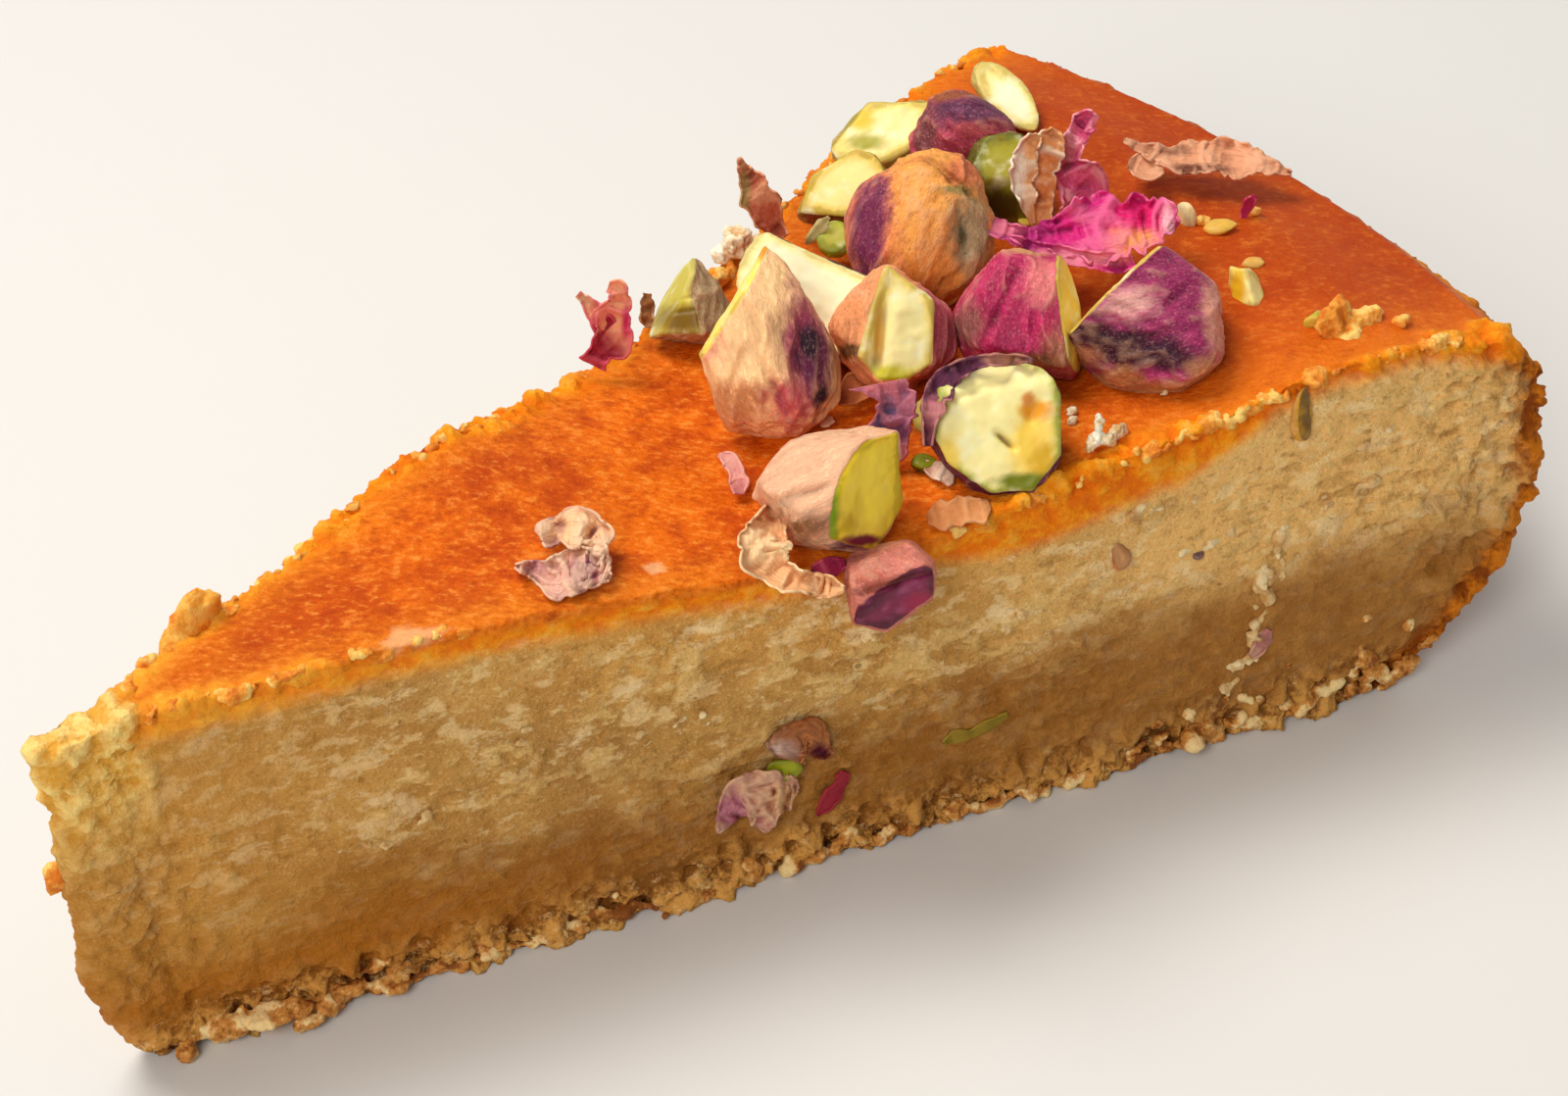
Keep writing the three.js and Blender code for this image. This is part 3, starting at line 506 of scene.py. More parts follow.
def mark_slice(piece):
    """Keeps where each point lies on the slice, for the paint."""
    points = read_points(piece)
    r, side = from_tip(points)
    z = points[:, 2]
    store(piece, depth=crust_height(r, side) - z, over_line=z - layer_height(r), height=z, reach=r)
    store(piece, rim_gap=rim_radius(z) - r, inset=behind_cut(points))
    # where the painted sheen lies on the crust
    scuff = np.zeros(len(points))
    for x, y, long, wide in SHEEN_SPOTS:
        along, across = along_and_across(points[:, :2] - np.array((x, y)), math.atan2(y, x))
        scuff += np.exp(-((along / long) ** 2) - (across / wide) ** 2)
    store(piece, scuff=scuff)


def dress(piece, material, node=None):
    piece.data.materials.append(material)
    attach(piece, "root")
    if node is not None:
        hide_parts(node)


CRUST_BRIGHT = (238, 112, 2)
CRUST_DEEP = (202, 76, 2)
CRUST_RED = (176, 56, 4)
CRUST_BACK = (182, 64, 2)
CRUST_GOLD = (244, 140, 24)
CRUST_BAND = (255, 156, 14)
CRUMB_PALE = (208, 158, 84)
# pale flecks of crumb, also used as painted highlight on the raised crumb
CRUMB_FLECK_AND_HIGHLIGHT = (232, 192, 120)
# painted shade for the pits and hollows of the cut crumb
CRUMB_PAINTED_SHADE = (168, 116, 50)
CRUMB_TIP = (255, 220, 134)
LAYER_BROWN = (148, 88, 22)
FOOT_GOLD = (232, 170, 86)
FOOT_DARK = (126, 74, 24)
STREAKS_TURN = -0.66  # of the streaks in the crust


def slice_paint(name):
    """Crust, cut crumb and crumb base in one finish, by place on the slice."""
    paint = Paint(name)
    depth, over_line, height, reach = map(paint.named, ("depth", "over_line", "height", "reach"))
    inset, rim_gap, grain, bare = map(paint.named, ("inset", "rim_gap", "grain", "bare"))
    fleck, lip, scuff = map(paint.named, ("fleck", "lip", "scuff"))
    broad = paint.spots(9, 3)
    medium = paint.spots(2.4, 4, 0.6)
    fine = paint.spots(0.55, 4, 0.65)
    dust = paint.spots(0.22, 2, 0.6)
    drawn = paint.spots(1.5, 5, 0.62, stretch=(2.4, 1.6, 0.9), turn=-HALF_ANGLE)
    shreds = paint.spots(0.8, 4, 0.6, stretch=(1.8, 1.4, 0.9), seed=0.05, turn=-HALF_ANGLE)
    flakes = paint.spots(1.7, 3, 0.6, stretch=(1.5, 1.2, 0.9), seed=0.06, turn=-HALF_ANGLE)
    clumps = paint.spots(3.4, 5, 0.7, stretch=(1.4, 1.2, 0.9), seed=0.07, turn=-HALF_ANGLE)
    specks = paint.spots(1.1, 0, 0.5, seed=0.03).rise(0.81, 0.86)
    wide, middling, tiny, torn = broad - 0.5, medium - 0.5, fine - 0.5, drawn - 0.5
    relief = grain * 0.9 + tiny * 1.6 + torn * 1.2

    upper = (depth + wide * 6).rise(12, 4) * reach.rise(22, 40) * reach.rise(84, 64)
    brown = (over_line + (wide * 9 + middling * 4 + torn * 3)).rise(6.5, -3.0)
    brown = brown * (0.55 + 0.45 * reach.rise(4, 30))
    lowest = (height + wide * 8).rise(11, 5) * (reach + wide * 10).rise(40, 22)
    foot = (height + middling * 6 + wide * 4).rise(5.6, 1.0)
    golden = paint.mix((grain * 1.3 + tiny * 3).rise(-0.5, 0.5), FOOT_DARK, FOOT_GOLD)
    golden = paint.mix((shreds + dust * 0.4).rise(0.76, 0.88) * 0.7, golden, (250, 210, 146))
    rim = (rim_gap + middling * 5 + wide * 4).rise(3.6, 1.0)
    nose = (reach + wide * 10 + torn * 8).rise(11, 3)
    crumb = paint.coat(
        paint.mix(broad.rise(0.35, 0.65), (188, 138, 72), CRUMB_PALE),
        ((reach + wide * 30).rise(62, 90) * 0.9, (246, 194, 116)),
        (upper * 0.35, (246, 180, 84)),
        (fleck.rise(0.05, 0.7) * 0.65, CRUMB_FLECK_AND_HIGHLIGHT),
        # painted shade in the pits of the torn crumb
        (fleck.rise(-0.05, -0.5) * 0.35, CRUMB_PAINTED_SHADE),
        # painted highlight on the raised crumb and painted shade in its hollows
        (relief.rise(0.2, 0.8) * 0.6, CRUMB_FLECK_AND_HIGHLIGHT),
        (relief.rise(-0.1, -0.7) * 0.45, CRUMB_PAINTED_SHADE),
        (shreds.rise(0.57, 0.7) * 0.45, (250, 216, 150)),
        (shreds.rise(0.42, 0.34) * 0.35, (150, 96, 36)),
        (flakes.rise(0.53, 0.63) * 0.5, (255, 224, 164)),
        (clumps.rise(0.57, 0.66) * 0.45, (255, 228, 178)),
        (clumps.rise(0.46, 0.38) * 0.25, (160, 110, 44)),
        (dust.rise(0.58, 0.7) * 0.4, (252, 218, 156)),
        (dust.rise(0.42, 0.3) * 0.35, (140, 88, 34)),
        (specks * 0.6, (120, 76, 26)),
        (brown * 0.85, paint.mix(relief.rise(-0.3, 0.8), LAYER_BROWN, (172, 112, 40))),
        (reach.rise(34, 4) * 0.5, (196, 130, 40)),
        (lowest * 0.65, (174, 98, 4)),
        (foot * 0.85, golden),
        (rim, paint.mix((grain + tiny * 2).rise(-0.4, 0.6), (140, 66, 6), (214, 124, 22))),
        (
            nose * (depth + wide * 10).rise(14, 3) * (0.3 + 0.7 * bare),
            paint.mix(relief.rise(-0.5, 0.6), (226, 164, 60), CRUMB_TIP),
        ),
    )

    strokes = paint.spots(0.42, 5, 0.7, stretch=(1.5, 1, 1), turn=STREAKS_TURN)
    pores = strokes * 0.5 + medium * 0.5
    dashes = paint.spots(0.5, 4, 0.6, stretch=(1.5, 1, 1), turn=STREAKS_TURN, seed=0.04)
    dashes = dashes * 0.75 + medium * 0.25
    glints = paint.spots(0.7, 5, 0.8, seed=0.02).rise(0.66, 0.76)
    plain = 1 - reach.rise(66, 98) * 0.6
    crust = paint.coat(
        paint.mix((broad * 0.6 + medium * 0.4).rise(0.38, 0.62), CRUST_DEEP, CRUST_BRIGHT),
        ((reach + wide * 20).rise(34, 14) * 0.6, CRUST_RED),
        ((reach + wide * 24).rise(62, 106) * 0.85, CRUST_BACK),
        ((inset + middling * 4).rise(5.0, 0.5) * 0.5, CRUST_GOLD),
        ((inset + wide * 8).rise(11, 3) * reach.rise(60, 90) * 0.5, (240, 118, 14)),
        (pores.rise(0.54, 0.7) * 0.4, (250, 146, 50)),
        (pores.rise(0.48, 0.36) * 0.4, (168, 56, 4)),
        (dashes.rise(0.5, 0.66) * 0.6 * plain, (255, 162, 64)),
        (dashes.rise(0.5, 0.36) * 0.5 * plain, (176, 58, 2)),
        (glints * 0.5, (255, 186, 130)),
        # painted sheen: pale reflections on the crust
        ((scuff + torn * 1.2).rise(0.35, 0.7) * 0.6, (255, 196, 140)),
    )
    thick = 0.9 + reach.rise(100, 70) * 0.9 + reach.rise(62, 74) * reach.rise(94, 84) * 2.2
    section = depth + middling * 1.4
    band = paint.coat(
        paint.mix(relief.rise(-0.5, 0.4), (240, 118, 4), CRUST_BAND),
        ((relief + (dust - 0.5)).rise(0.1, 0.8) * 0.7, (250, 184, 74)),
        (reach.rise(34, 6) * 0.5, (248, 178, 60)),
    )
    skin = paint.mix(section.rise(0.3, 1.4).larger(lip), crust, band)
    open_crumb = (section - thick).rise(-0.4, 1.6).larger((bare + torn * 1.6).rise(0.4, 0.8))
    color = paint.mix(open_crumb, skin, crumb)

    rough = 0.4 + open_crumb * 0.25 + tiny * 0.2
    bumps = (strokes + dashes) * (1 - open_crumb) + fine * (0.3 + open_crumb) + dust * 0.3
    bumps = bumps + (drawn + shreds) * open_crumb
    return paint.finish(color, rough, paint.bump(bumps, 0.24), glow=0.2, glow_depth=1.0, shine=0.1)


mark_slice(cake)
slice_finish = slice_paint("cake crumb and crust")
dress(cake, slice_finish, "cake_layer")

# The crumb base is crushed biscuit and almond pressed into the tin with
# butter. It cut less cleanly than the cake, so its foot is all coarse crumbs.
BASE_FLAT = 12

base = make_slice("base", BASE_FLAT, lambda r, side: 0 * r, lambda r, side: layer_height(r) + OVERLAP)
mark_slice(base)
dress(base, slice_finish, "crumb_base")

# Loose crumbs of cake and base. They cling to the foot, the tip and the
# edges of the crust where the knife dragged, and pale ones dot the cut faces.
def on_cut(side, r, height, out):
    """A place on a cut face this far from the tip; side is -1 for the near one."""
    along = r * math.cos(HALF_ANGLE) - out * math.sin(HALF_ANGLE)
    return along, side * (r * math.sin(HALF_ANGLE) + out * math.cos(HALF_ANGLE)), height


def crumb_bits(name, rows, voxel, broken, seed):
    """Crumbs grown together; a row is a place, three sizes and a turn in degrees."""
    bpy.ops.object.select_all(action="DESELECT")
    bpy.ops.mesh.primitive_uv_sphere_add(segments=10, ring_count=7, radius=0.5 * MM)
    model = bpy.context.object
    ball = read_points(model) - TIP
    crumbs = []
    for k, (place, sizes, degrees) in enumerate(rows):
        crumb = model.copy()
        crumb.data = model.data.copy()
        bpy.context.collection.objects.link(crumb)
        swell = 1 + 0.5 * lattice(ball * 2 + 17.3 * k, 1.0, seed)
        tilted = Matrix.Rotation(0.5 * math.sin(5.0 * k), 3, "X")
        turned = np.array(Matrix.Rotation(math.radians(degrees), 3, "Z") @ tilted)
        write_points(crumb, (ball * np.array(sizes) * swell[:, None]) @ turned.T + np.array(place))
        crumbs.append(crumb)
    bpy.data.objects.remove(model)
    pick(*crumbs)
    bpy.ops.object.join()
    piece = bpy.context.object
    piece.name = name
    modifier(piece, "REMESH", mode="VOXEL", voxel_size=voxel * MM, adaptivity=0)
    points = read_points(piece)
    crags = craggy(points, 5 * voxel, seed + 2)
    points += read_normals(piece) * (broken * crags)[:, None]
    points[:, 2] = np.maximum(points[:, 2], 0)
    write_points(piece, points)
    store(piece, tone=0.5 + 0.6 * lattice(points, 1.2, seed + 9) + 0.6 * crags)
    bpy.ops.object.shade_smooth()
    return piece


def crumb_paint(name, dark, middle, light):
    """One kind of crumb, from its dark to its light ones."""
    paint = Paint(name)
    tone = paint.named("tone") + (paint.spots(0.4, 4, 0.65) - 0.5) * 1.6
    color = paint.coat(dark, (tone.rise(0.1, 0.5), middle), (tone.rise(0.5, 0.95), light))
    normal = paint.bump(paint.spots(0.3, 4, 0.7), 0.15)
    return paint.finish(color, 0.6, normal, glow=0.2, glow_depth=0.6, shine=0.3)


def add_crumbs(name, finish, tones, rows, voxel, broken=0.3, seed=1):
    piece = crumb_bits(name, rows, voxel, broken, seed)
    dress(piece, crumb_paint(finish, *tones))


chance = np.random.default_rng(11)
rows = []
for side, count in ((-1, 420), (1, 180)):
    for _ in range(count):
        r = chance.uniform(6, 111)
        size = 0.4 + chance.gamma(2.0, 0.2)
        height = max(abs(chance.normal(0, 1.0 + 1.8 * float(smooth(r, 70, 108)))), 0.4 * size)
        r = min(r, float(rim_radius(np.array(height))) - 0.5)
        place = on_cut(side, r, height, 0.1 * size + 0.1 * chance.random())
        rows.append((place, size * np.array((1.3, 0.9, 0.8)), chance.uniform(-60, 30)))
for _ in range(120):
    angle = chance.uniform(-1, 1) * HALF_ANGLE
    size = 0.5 + chance.gamma(2.0, 0.24)
    height = max(abs(chance.normal(0, 2)), 0.4 * size)
    r = float(rim_radius(np.array(height))) + 0.1 * size
    place = (r * math.cos(angle), r * math.sin(angle), height)
    rows.append((place, size * np.array((0.9, 1.2, 0.9)), 0))
rows += [
    (on_cut(-1, 11.2, 1.9, 0.9), (5.2, 2.2, 1.3), -16), (on_cut(-1, 8.2, 1.5, 0.4), (4.4, 2.0, 1.5), -16),
    (on_cut(-1, 13.8, 0.8, 1.9), (3.0, 1.6, 1.1), -30), (on_cut(-1, 15.6, 1.2, 1.0), (1.7, 1.4, 1.3), 10),
    (on_cut(-1, 5.0, 0.9, 0.6), (2.0, 1.6, 1.4), 40), (on_cut(-1, 20.5, 0.8, 0.9), (2.2, 1.3, 1.1), -40),
    (on_cut(-1, 41.6, 0.5, 1.4), (0.8, 0.7, 0.7), 0), (on_cut(-1, 72.0, 1.0, 0.6), (2.6, 1.7, 1.5), 5),
    (on_cut(-1, 86.0, 1.4, 0.6), (2.8, 1.9, 1.9), 25), (on_cut(-1, 96.0, 1.6, 0.5), (3.0, 1.9, 2.0), -20),
]
tones = ((150, 84, 26), (214, 144, 62), (255, 220, 154))
add_crumbs("crumbs_of_the_base", "base crumbs", tones, rows, 0.21, 0.5, seed=3)

rows = []
for reach, height in (
    (92.6, 15.6), (92.2, 13.8), (91.8, 11.6), (91.4, 9.2), (90.6, 7.4), (90.0, 5.4), (92.9, 17.4),
):
    for _ in range(6):
        size = 0.5 + chance.gamma(2.0, 0.16)
        place = on_cut(-1, reach + chance.normal(0, 0.5), height + chance.normal(0, 0.8), 0.1 * size)
        rows.append((place, size * np.array((1.0, 0.7, 1.1)), chance.uniform(0, 90)))
for reach, height in (
    (31, 20), (20, 14.5), (24, 15.5), (45, 17), (60, 21), (71, 18), (83, 25), (98, 21), (101, 26),
    (88, 20),
):
    for _ in range(5):
        size = 0.4 + chance.gamma(2.0, 0.16)
        place = on_cut(-1, reach + chance.normal(0, 1.6), height + chance.normal(0, 0.4), 0.0)
        rows.append((place, size * np.array((1.7, 0.6, 0.8)), 16 + chance.normal(0, 12)))
tones = ((200, 152, 86), (226, 186, 124), (248, 222, 170))
add_crumbs("crumbs_on_the_cut", "pale crumbs", tones, rows, 0.15, seed=5)

rows = []
for side, low, high, count in ((-1, 4, 30, 60), (-1, 66, 108, 130), (1, 4, 110, 150)):
    for _ in range(count):
        r = chance.uniform(low, high)
        size = 0.4 + chance.gamma(2.0, 0.17)
        down = chance.uniform(-0.1, 0.8)
        place = on_cut(side, r, float(crust_height(np.array(r), side)) - down, -chance.uniform(-0.05, 0.8))
        rows.append((place, size * np.array((1.4, 0.9, 0.6)), -side * 16 + chance.normal(0, 25)))
rows += [
    ((11.4, 3.8, 31.0), (2.0, 1.8, 1.5), 0), ((9.4, 3.0, 31.0), (1.9, 1.5, 1.4), 50),
    ((20.4, 5.9, 31.0), (2.0, 1.2, 1.2), 10), ((24.0, 6.9, 31.2), (1.4, 1.0, 0.8), 10),
    ((69.6, 18.2, 29.0), (2.4, 1.6, 1.8), 20), ((71.4, 19.2, 28.8), (1.7, 1.3, 1.5), 70),
    ((68.2, 17.6, 28.8), (1.5, 1.2, 1.2), 0), ((100.3, -4.6, 32.6), (1.2, 1.0, 0.8), 0),
    ((97.8, -21.8, 33.6), (3.0, 1.6, 3.0), 20), ((96.6, -22.6, 33.6), (2.4, 1.0, 3.0), -10),
    ((98.6, -22.0, 33.0), (3.4, 2.8, 1.6), 5), ((99.6, -22.8, 33.2), (2.8, 1.8, 1.6), 5),
    ((97.6, -23.6, 32.9), (3.6, 2.0, 1.2), 10), ((101.6, -24.6, 32.9), (2.2, 1.4, 0.9), -20),
    ((93.4, -24.2, 32.4), (1.9, 1.6, 0.9), 30), ((91.6, -23.6, 32.1), (1.6, 1.2, 0.8), 60),
    ((104.4, -6.4, 32.7), (0.9, 0.7, 0.6), 0), ((-1.2, 0.7, 19.0), (1.9, 1.7, 3.0), 10),
]
tones = ((222, 122, 24), (242, 158, 52), (252, 206, 112))
add_crumbs("crumbs_of_the_crust", "crust crumbs", tones, rows, 0.15, seed=7)

# A flap of crust that stands up on the far edge near the tip, torn loose by
# the knife.
rows = [
    ((12.0, 3.9, 31.1), (3.0, 1.8, 2.2), 15), ((13.1, 4.3, 31.5), (3.2, 1.8, 2.8), 15),
    ((14.2, 4.6, 31.9), (3.2, 1.8, 3.4), 15), ((15.2, 4.9, 32.2), (2.8, 1.7, 3.0), 15),
    ((15.6, 4.9, 31.0), (4.6, 1.8, 2.4), 15),
]
tones = ((226, 120, 14), (240, 160, 48), (248, 186, 84))
add_crumbs("flap_of_crust", "crust flap", tones, rows, 0.15, 0.1, seed=12)

# Larger crumbs: a cream nub of almond behind the brown sepal, a clear crumb
# of sugar on the crust and a few white grains.
rows = [
    ((72.4, 19.6, 30.6), (3.4, 2.8, 3.0), 20), ((71.4, 20.2, 29.6), (2.0, 1.6, 1.8), 60),
    ((73.9, 19.2, 30.0), (1.5, 1.2, 1.3), 10), ((76.6, -19.4, 31.0), (1.8, 1.2, 1.1), -20),
    ((75.2, -19.6, 31.1), (1.3, 1.0, 1.0), 30), ((78.0, -19.4, 30.9), (1.5, 1.1, 1.1), 10),
    ((76.5, -18.9, 32.0), (0.8, 0.7, 1.8), 0), ((77.5, -14.8, 30.4), (1.1, 0.7, 0.6), 40),
    ((77.0, -15.6, 30.2), (0.7, 0.5, 0.5), 0), ((83.6, -18.2, 31.2), (0.6, 0.5, 0.5), 0),
]
tones = ((216, 170, 112), (246, 222, 180), (255, 248, 226))
add_crumbs("crumbs_of_almond", "almond crumbs", tones, rows, 0.12, 0.4, seed=9)

# Pistachio kernels, shelled and roughly chopped, lie in a heap on the back
# half of the crust. Each has a papery tan to purple skin that shrank and
# wrinkled on roasting, over pale flesh that is green under the skin.
KERNEL_VOXEL = 0.17
UNEVEN_PITCH = 3.4  # of the swells of a kernel
FOLD_PITCH, CRIMP_PITCH, HAIR_PITCH = 1.9, 0.75, 0.4  # of the wrinkles in its skin
SCREEN = np.array([tuple(column)[:3] for column in camera.matrix_world.col[:2]] + [tuple(back)])


def own_axes(along, face):
    """Rows are the piece's length, width and the way its front looks."""
    length = np.array(along) / np.linalg.norm(along)
    look = np.array(face) - length * np.dot(face, length)
    look /= np.linalg.norm(look)
    return np.array((length, np.cross(look, length), look))


def flat_normal(degrees, lean):
    """A flat side as the camera sees it: 0 faces right, 90 up, lean to the front."""
    seen = (math.cos(math.radians(degrees)), math.sin(math.radians(degrees)), lean)
    normal = np.array(seen) @ SCREEN
    return normal / np.linalg.norm(normal)


def egg_points(points, size, shrunk, seed):
    """A ball's points as an egg of this size, blunt at one end and shrunk unevenly."""
    u = points[:, 2] * 2
    slim = 1 - 0.2 * np.maximum(u, 0) ** 2 - 0.08 * u
    egg = np.stack((points[:, 2] * size[0], points[:, 0] * size[1] * slim, points[:, 1] * size[2] * slim), 1)
    return egg * (1 + shrunk * lattice(egg, UNEVEN_PITCH, seed))[:, None]


def ridges(points, pitch, seed):
    """Folds with sharp tops, up to 1."""
    return 1 - np.abs(lattice(points, pitch, seed))


def kernel(name, at, size, along, face, sides=(), cuts=(), dents=(), shrunk=0.05, round_off=150, seed=1):
    """One kernel: an egg, its flat sides and knife cuts, then its wrinkles.

    A side or a cut is where it faces, how far it leans to the front and how
    far it lies from the middle. A dent is its middle as the camera sees it,
    its length and width, its turn in degrees and its depth.
    """
    bpy.ops.object.select_all(action="DESELECT")
    bpy.ops.mesh.primitive_uv_sphere_add(segments=64, ring_count=40, radius=0.5 * MM)
    piece = bpy.context.object
    piece.name = name
    axes = own_axes(along, face)
    write_points(piece, egg_points(read_points(piece) - TIP, size, shrunk, seed) @ axes + TIP)
    flats = [(flat_normal(*side[:2]), side[2]) for side in sides]
    knives = [(flat_normal(*cut[:2]), cut[2]) for cut in cuts]
    bpy.ops.object.mode_set(mode="EDIT")
    for normal, far in flats + knives:
        bpy.ops.mesh.select_all(action="SELECT")
        bpy.ops.mesh.bisect(
            plane_co=normal * far * MM, plane_no=normal, use_fill=True, clear_outer=True, threshold=1e-7
        )
    bpy.ops.object.mode_set(mode="OBJECT")
    modifier(piece, "REMESH", mode="VOXEL", voxel_size=KERNEL_VOXEL * MM, adaptivity=0)
    modifier(piece, "SMOOTH", factor=0.5, iterations=9)
    crisp = read_points(piece) - TIP
    modifier(piece, "SMOOTH", factor=0.5, iterations=round_off)
    inside = np.minimum.reduce([np.full(len(crisp), 20.0)] + [far - crisp @ normal for normal, far in knives])
    dried = smooth(inside, 0.2, 1.4)[:, None]
    loose = crisp * (1 - dried) + (read_points(piece) - TIP) * (1 + 0.1 / min(size)) * dried
    skin = smooth(inside, 0.12, 0.45)
    own = loose @ axes.T
    warp = own + 0.6 * np.stack([lattice(own, 2.5, seed + k) for k in (31, 32, 33)], 1)
    wrinkle = 0.34 * (ridges(warp * (0.3, 1, 1), FOLD_PITCH, seed + 5) ** 2 - 0.6)
    wrinkle += 0.2 * (ridges(warp * (0.25, 1, 1), CRIMP_PITCH, seed + 6) - 0.6)
    wrinkle += 0.07 * lattice(own * (0.5, 1, 1), HAIR_PITCH, seed + 7)
    flesh = 0.14 * lattice(own, 1.9, seed + 8) + 0.05 * lattice(own, 0.6, seed + 9)
    push = skin * wrinkle + (1 - skin) * flesh
    normals = read_normals(piece)
    seen = loose @ SCREEN.T
    front = np.clip(normals @ SCREEN[2] * 1.6, 0, 1)
    hollow = np.zeros(len(own))
    for middle, long, wide, degrees, depth in dents:
        along_dent, across = along_and_across(seen[:, :2] - np.array(middle), math.radians(degrees))
        hollow += depth * np.exp(-((along_dent / long) ** 4) - (across / wide) ** 2) * front
    loose = loose + normals * push[:, None] - SCREEN[2] * hollow[:, None]
    write_points(piece, loose + np.array(at))
    under = (1 - np.linalg.norm(own / (np.array(size) / 2), axis=1)) * min(size) / 2
    under = np.minimum.reduce([under] + [far - crisp @ normal for normal, far in flats])
    crease = skin * wrinkle - 0.5 * hollow
    store(piece, inside=inside, under=under, crease=crease, own=own, seen=seen)
    polish(piece)
    return piece


def fibres(paint, pitch, stretch, detail=3.0, seed=0.0, bent=0.0):
    """Noise that runs along a kernel's length."""
    own = paint.drawn_out(paint.named("own", "Vector"), Scale=stretch, Location=(seed, seed * 0.7, 0))
    return paint.noise(own, 1 / pitch, Detail=detail, Distortion=bent)


def patch(across, up, middle, size, ragged):
    """1 on a patch this far right of and above the piece's middle."""
    far = (across - middle[0]) * (1 / size[0])
    high = (up - middle[1]) * (1 / size[1])
    return ((far * far + high * high) ** 0.5 + ragged).rise(1.5, 0.4)


def kernel_paint(
    name, skin, blush, flesh, rind, patches=(), blush_share=0.5, spots=(), marks=0.5, milk=(255, 252, 214)
):
    """Skin mottled from one colour to another, and flesh where it is cut.

    Patches lie on the skin and spots on the flesh; each is its middle and
    size as the camera sees them, and its colour.
    """
    paint = Paint(name)
    across, up = paint.parts(paint.named("seen", "Vector"))
    streaks = fibres(paint, 0.8, (2.6, 1, 1), 4, bent=0.6)
    clouds = fibres(paint, 3.0, (1.5, 1, 1), 3, seed=5)
    hairs = fibres(paint, 0.26, (3.5, 1, 1), 4, bent=0.8)
    fuzz = fibres(paint, 0.17, (1.6, 1, 1), 3, bent=0.5)
    ragged = (clouds - 0.5) * 1.2 + (streaks - 0.5) * 1.3
    crease = paint.named("crease")
    share = (clouds + (streaks - 0.5) * 0.4).rise(0.78 - 0.5 * blush_share, 0.98 - 0.5 * blush_share)
    color = paint.mix(share, skin, blush)
    color = paint.coat(color, *((patch(across, up, *place, ragged), tint) for *place, tint in patches))
    lines = hairs * 0.4 + streaks * 0.3 + fuzz * 0.3
    color = paint.mix(lines.rise(0.52, 0.64) * 0.5, color, paint.dimmed(color, 1.9))
    color = paint.mix(lines.rise(0.5, 0.38) * marks, color, paint.dimmed(color, 0.4))
    color = paint.mix(fuzz.rise(0.5, 0.75) * 0.25, color, (232, 180, 164))
    # painted shade in the skin's creases and dents, and painted highlight on its wrinkle tops
    color = paint.mix(crease.rise(-0.06, -0.35) * 0.45, color, paint.dimmed(color, 0.3))
    color = paint.mix(crease.rise(0.06, 0.2) * 0.25, color, (236, 186, 150))
    under = paint.named("under") + (clouds - 0.5) * 1.4 + (streaks - 0.5) * 0.8
    meat = paint.mix(under.rise(0.9, 0.2) * 0.7, flesh, rind)
    meat = paint.mix(under.rise(0.4, 0.1) * 0.6, meat, paint.dimmed(rind, 0.5))
    soft = paint.noise(paint.place, 1 / (1.6 * MM), Detail=5.0)
    oily = paint.mix(0.5, meat, paint.mix(0.5, flesh, (210, 120, 10)))
    meat = paint.coat(
        meat,
        (soft.rise(0.52, 0.75) * 0.4, oily),
        (soft.rise(0.5, 0.3) * 0.5, milk),
        # painted shade in the creases and dents of the flesh
        (crease.rise(-0.1, -0.6) * 0.8, (120, 85, 20)),
        *((patch(across, up, *place, ragged * 0.6), tint) for *place, tint in spots),
    )
    cut = (paint.named("inside") + (streaks - 0.5) * 0.3).rise(0.28, 0.16)
    normal = paint.bump((hairs + fuzz * 0.7) * (1 - cut) + soft * cut * 0.6, 0.09)
    color = paint.mix(cut, color, meat)
    return paint.finish(color, 0.55 - cut * 0.13, normal, glow=0.25, glow_depth=0.9, shine=0.3)


def add_kernel(node, look, **shape):
    piece = kernel(node.replace("pistachio", "kernel"), **shape)
    dress(piece, kernel_paint(node.replace("_", " "), **look), node)


PEACH = (232, 178, 140)
ROSE = (196, 100, 96)
PURPLE = (98, 30, 66)
NIGHT = (44, 18, 36)
IVORY = (255, 240, 166)
LEMON = (246, 214, 84)
LIME = (168, 176, 26)
OLIVE = (104, 98, 12)

# The front kernel was sliced across, so its round pale flesh looks at the
# camera, with dark skin round its upper left edge.
add_kernel(
    "pistachio_round_face", at=(69.5, -15.6, 33.4), size=(11.4, 11.4, 10.0), along=(0.5, -0.35, 0.79),
    face=(-0.42, -0.7, 0.55),
    sides=[
        (0, 0.1, 4.7), (322, 0.2, 5.0), (236, 0.1, 4.5), (203, 0.1, 4.6), (275, 0.2, 5.0),
        (160, 0.45, 4.7), (132, 0.5, 4.6), (100, 0.4, 4.7), (60, 0.1, 5.4),
    ],
    cuts=[(300, 12, 1.0), (96, 1.35, 2.4)],
    dents=[
        ((0.6, -1.2), 0.9, 0.22, -42, 1.1), ((-2.0, 2.2), 2.6, 0.3, 24, 0.35),
        ((2.6, 1.0), 1.0, 0.5, 70, 0.4),
    ],
    seed=1,
    look=dict(
        skin=PURPLE, blush=ROSE, flesh=IVORY, rind=LIME, blush_share=0.3,
        spots=[
            ((2.4, -1.4), (1.5, 2.6), (250, 210, 84)), ((3.2, -2.6), (0.9, 1.4), (222, 176, 44)),
            ((2.8, 1.0), (1.2, 0.7), (236, 160, 36)), ((-3.6, -2.2), (0.9, 1.6), (240, 210, 90)),
            ((2.2, 1.8), (0.5, 0.5), (226, 150, 70)), ((2.0, -4.2), (2.4, 0.6), (120, 126, 10)),
        ],
    ),
)

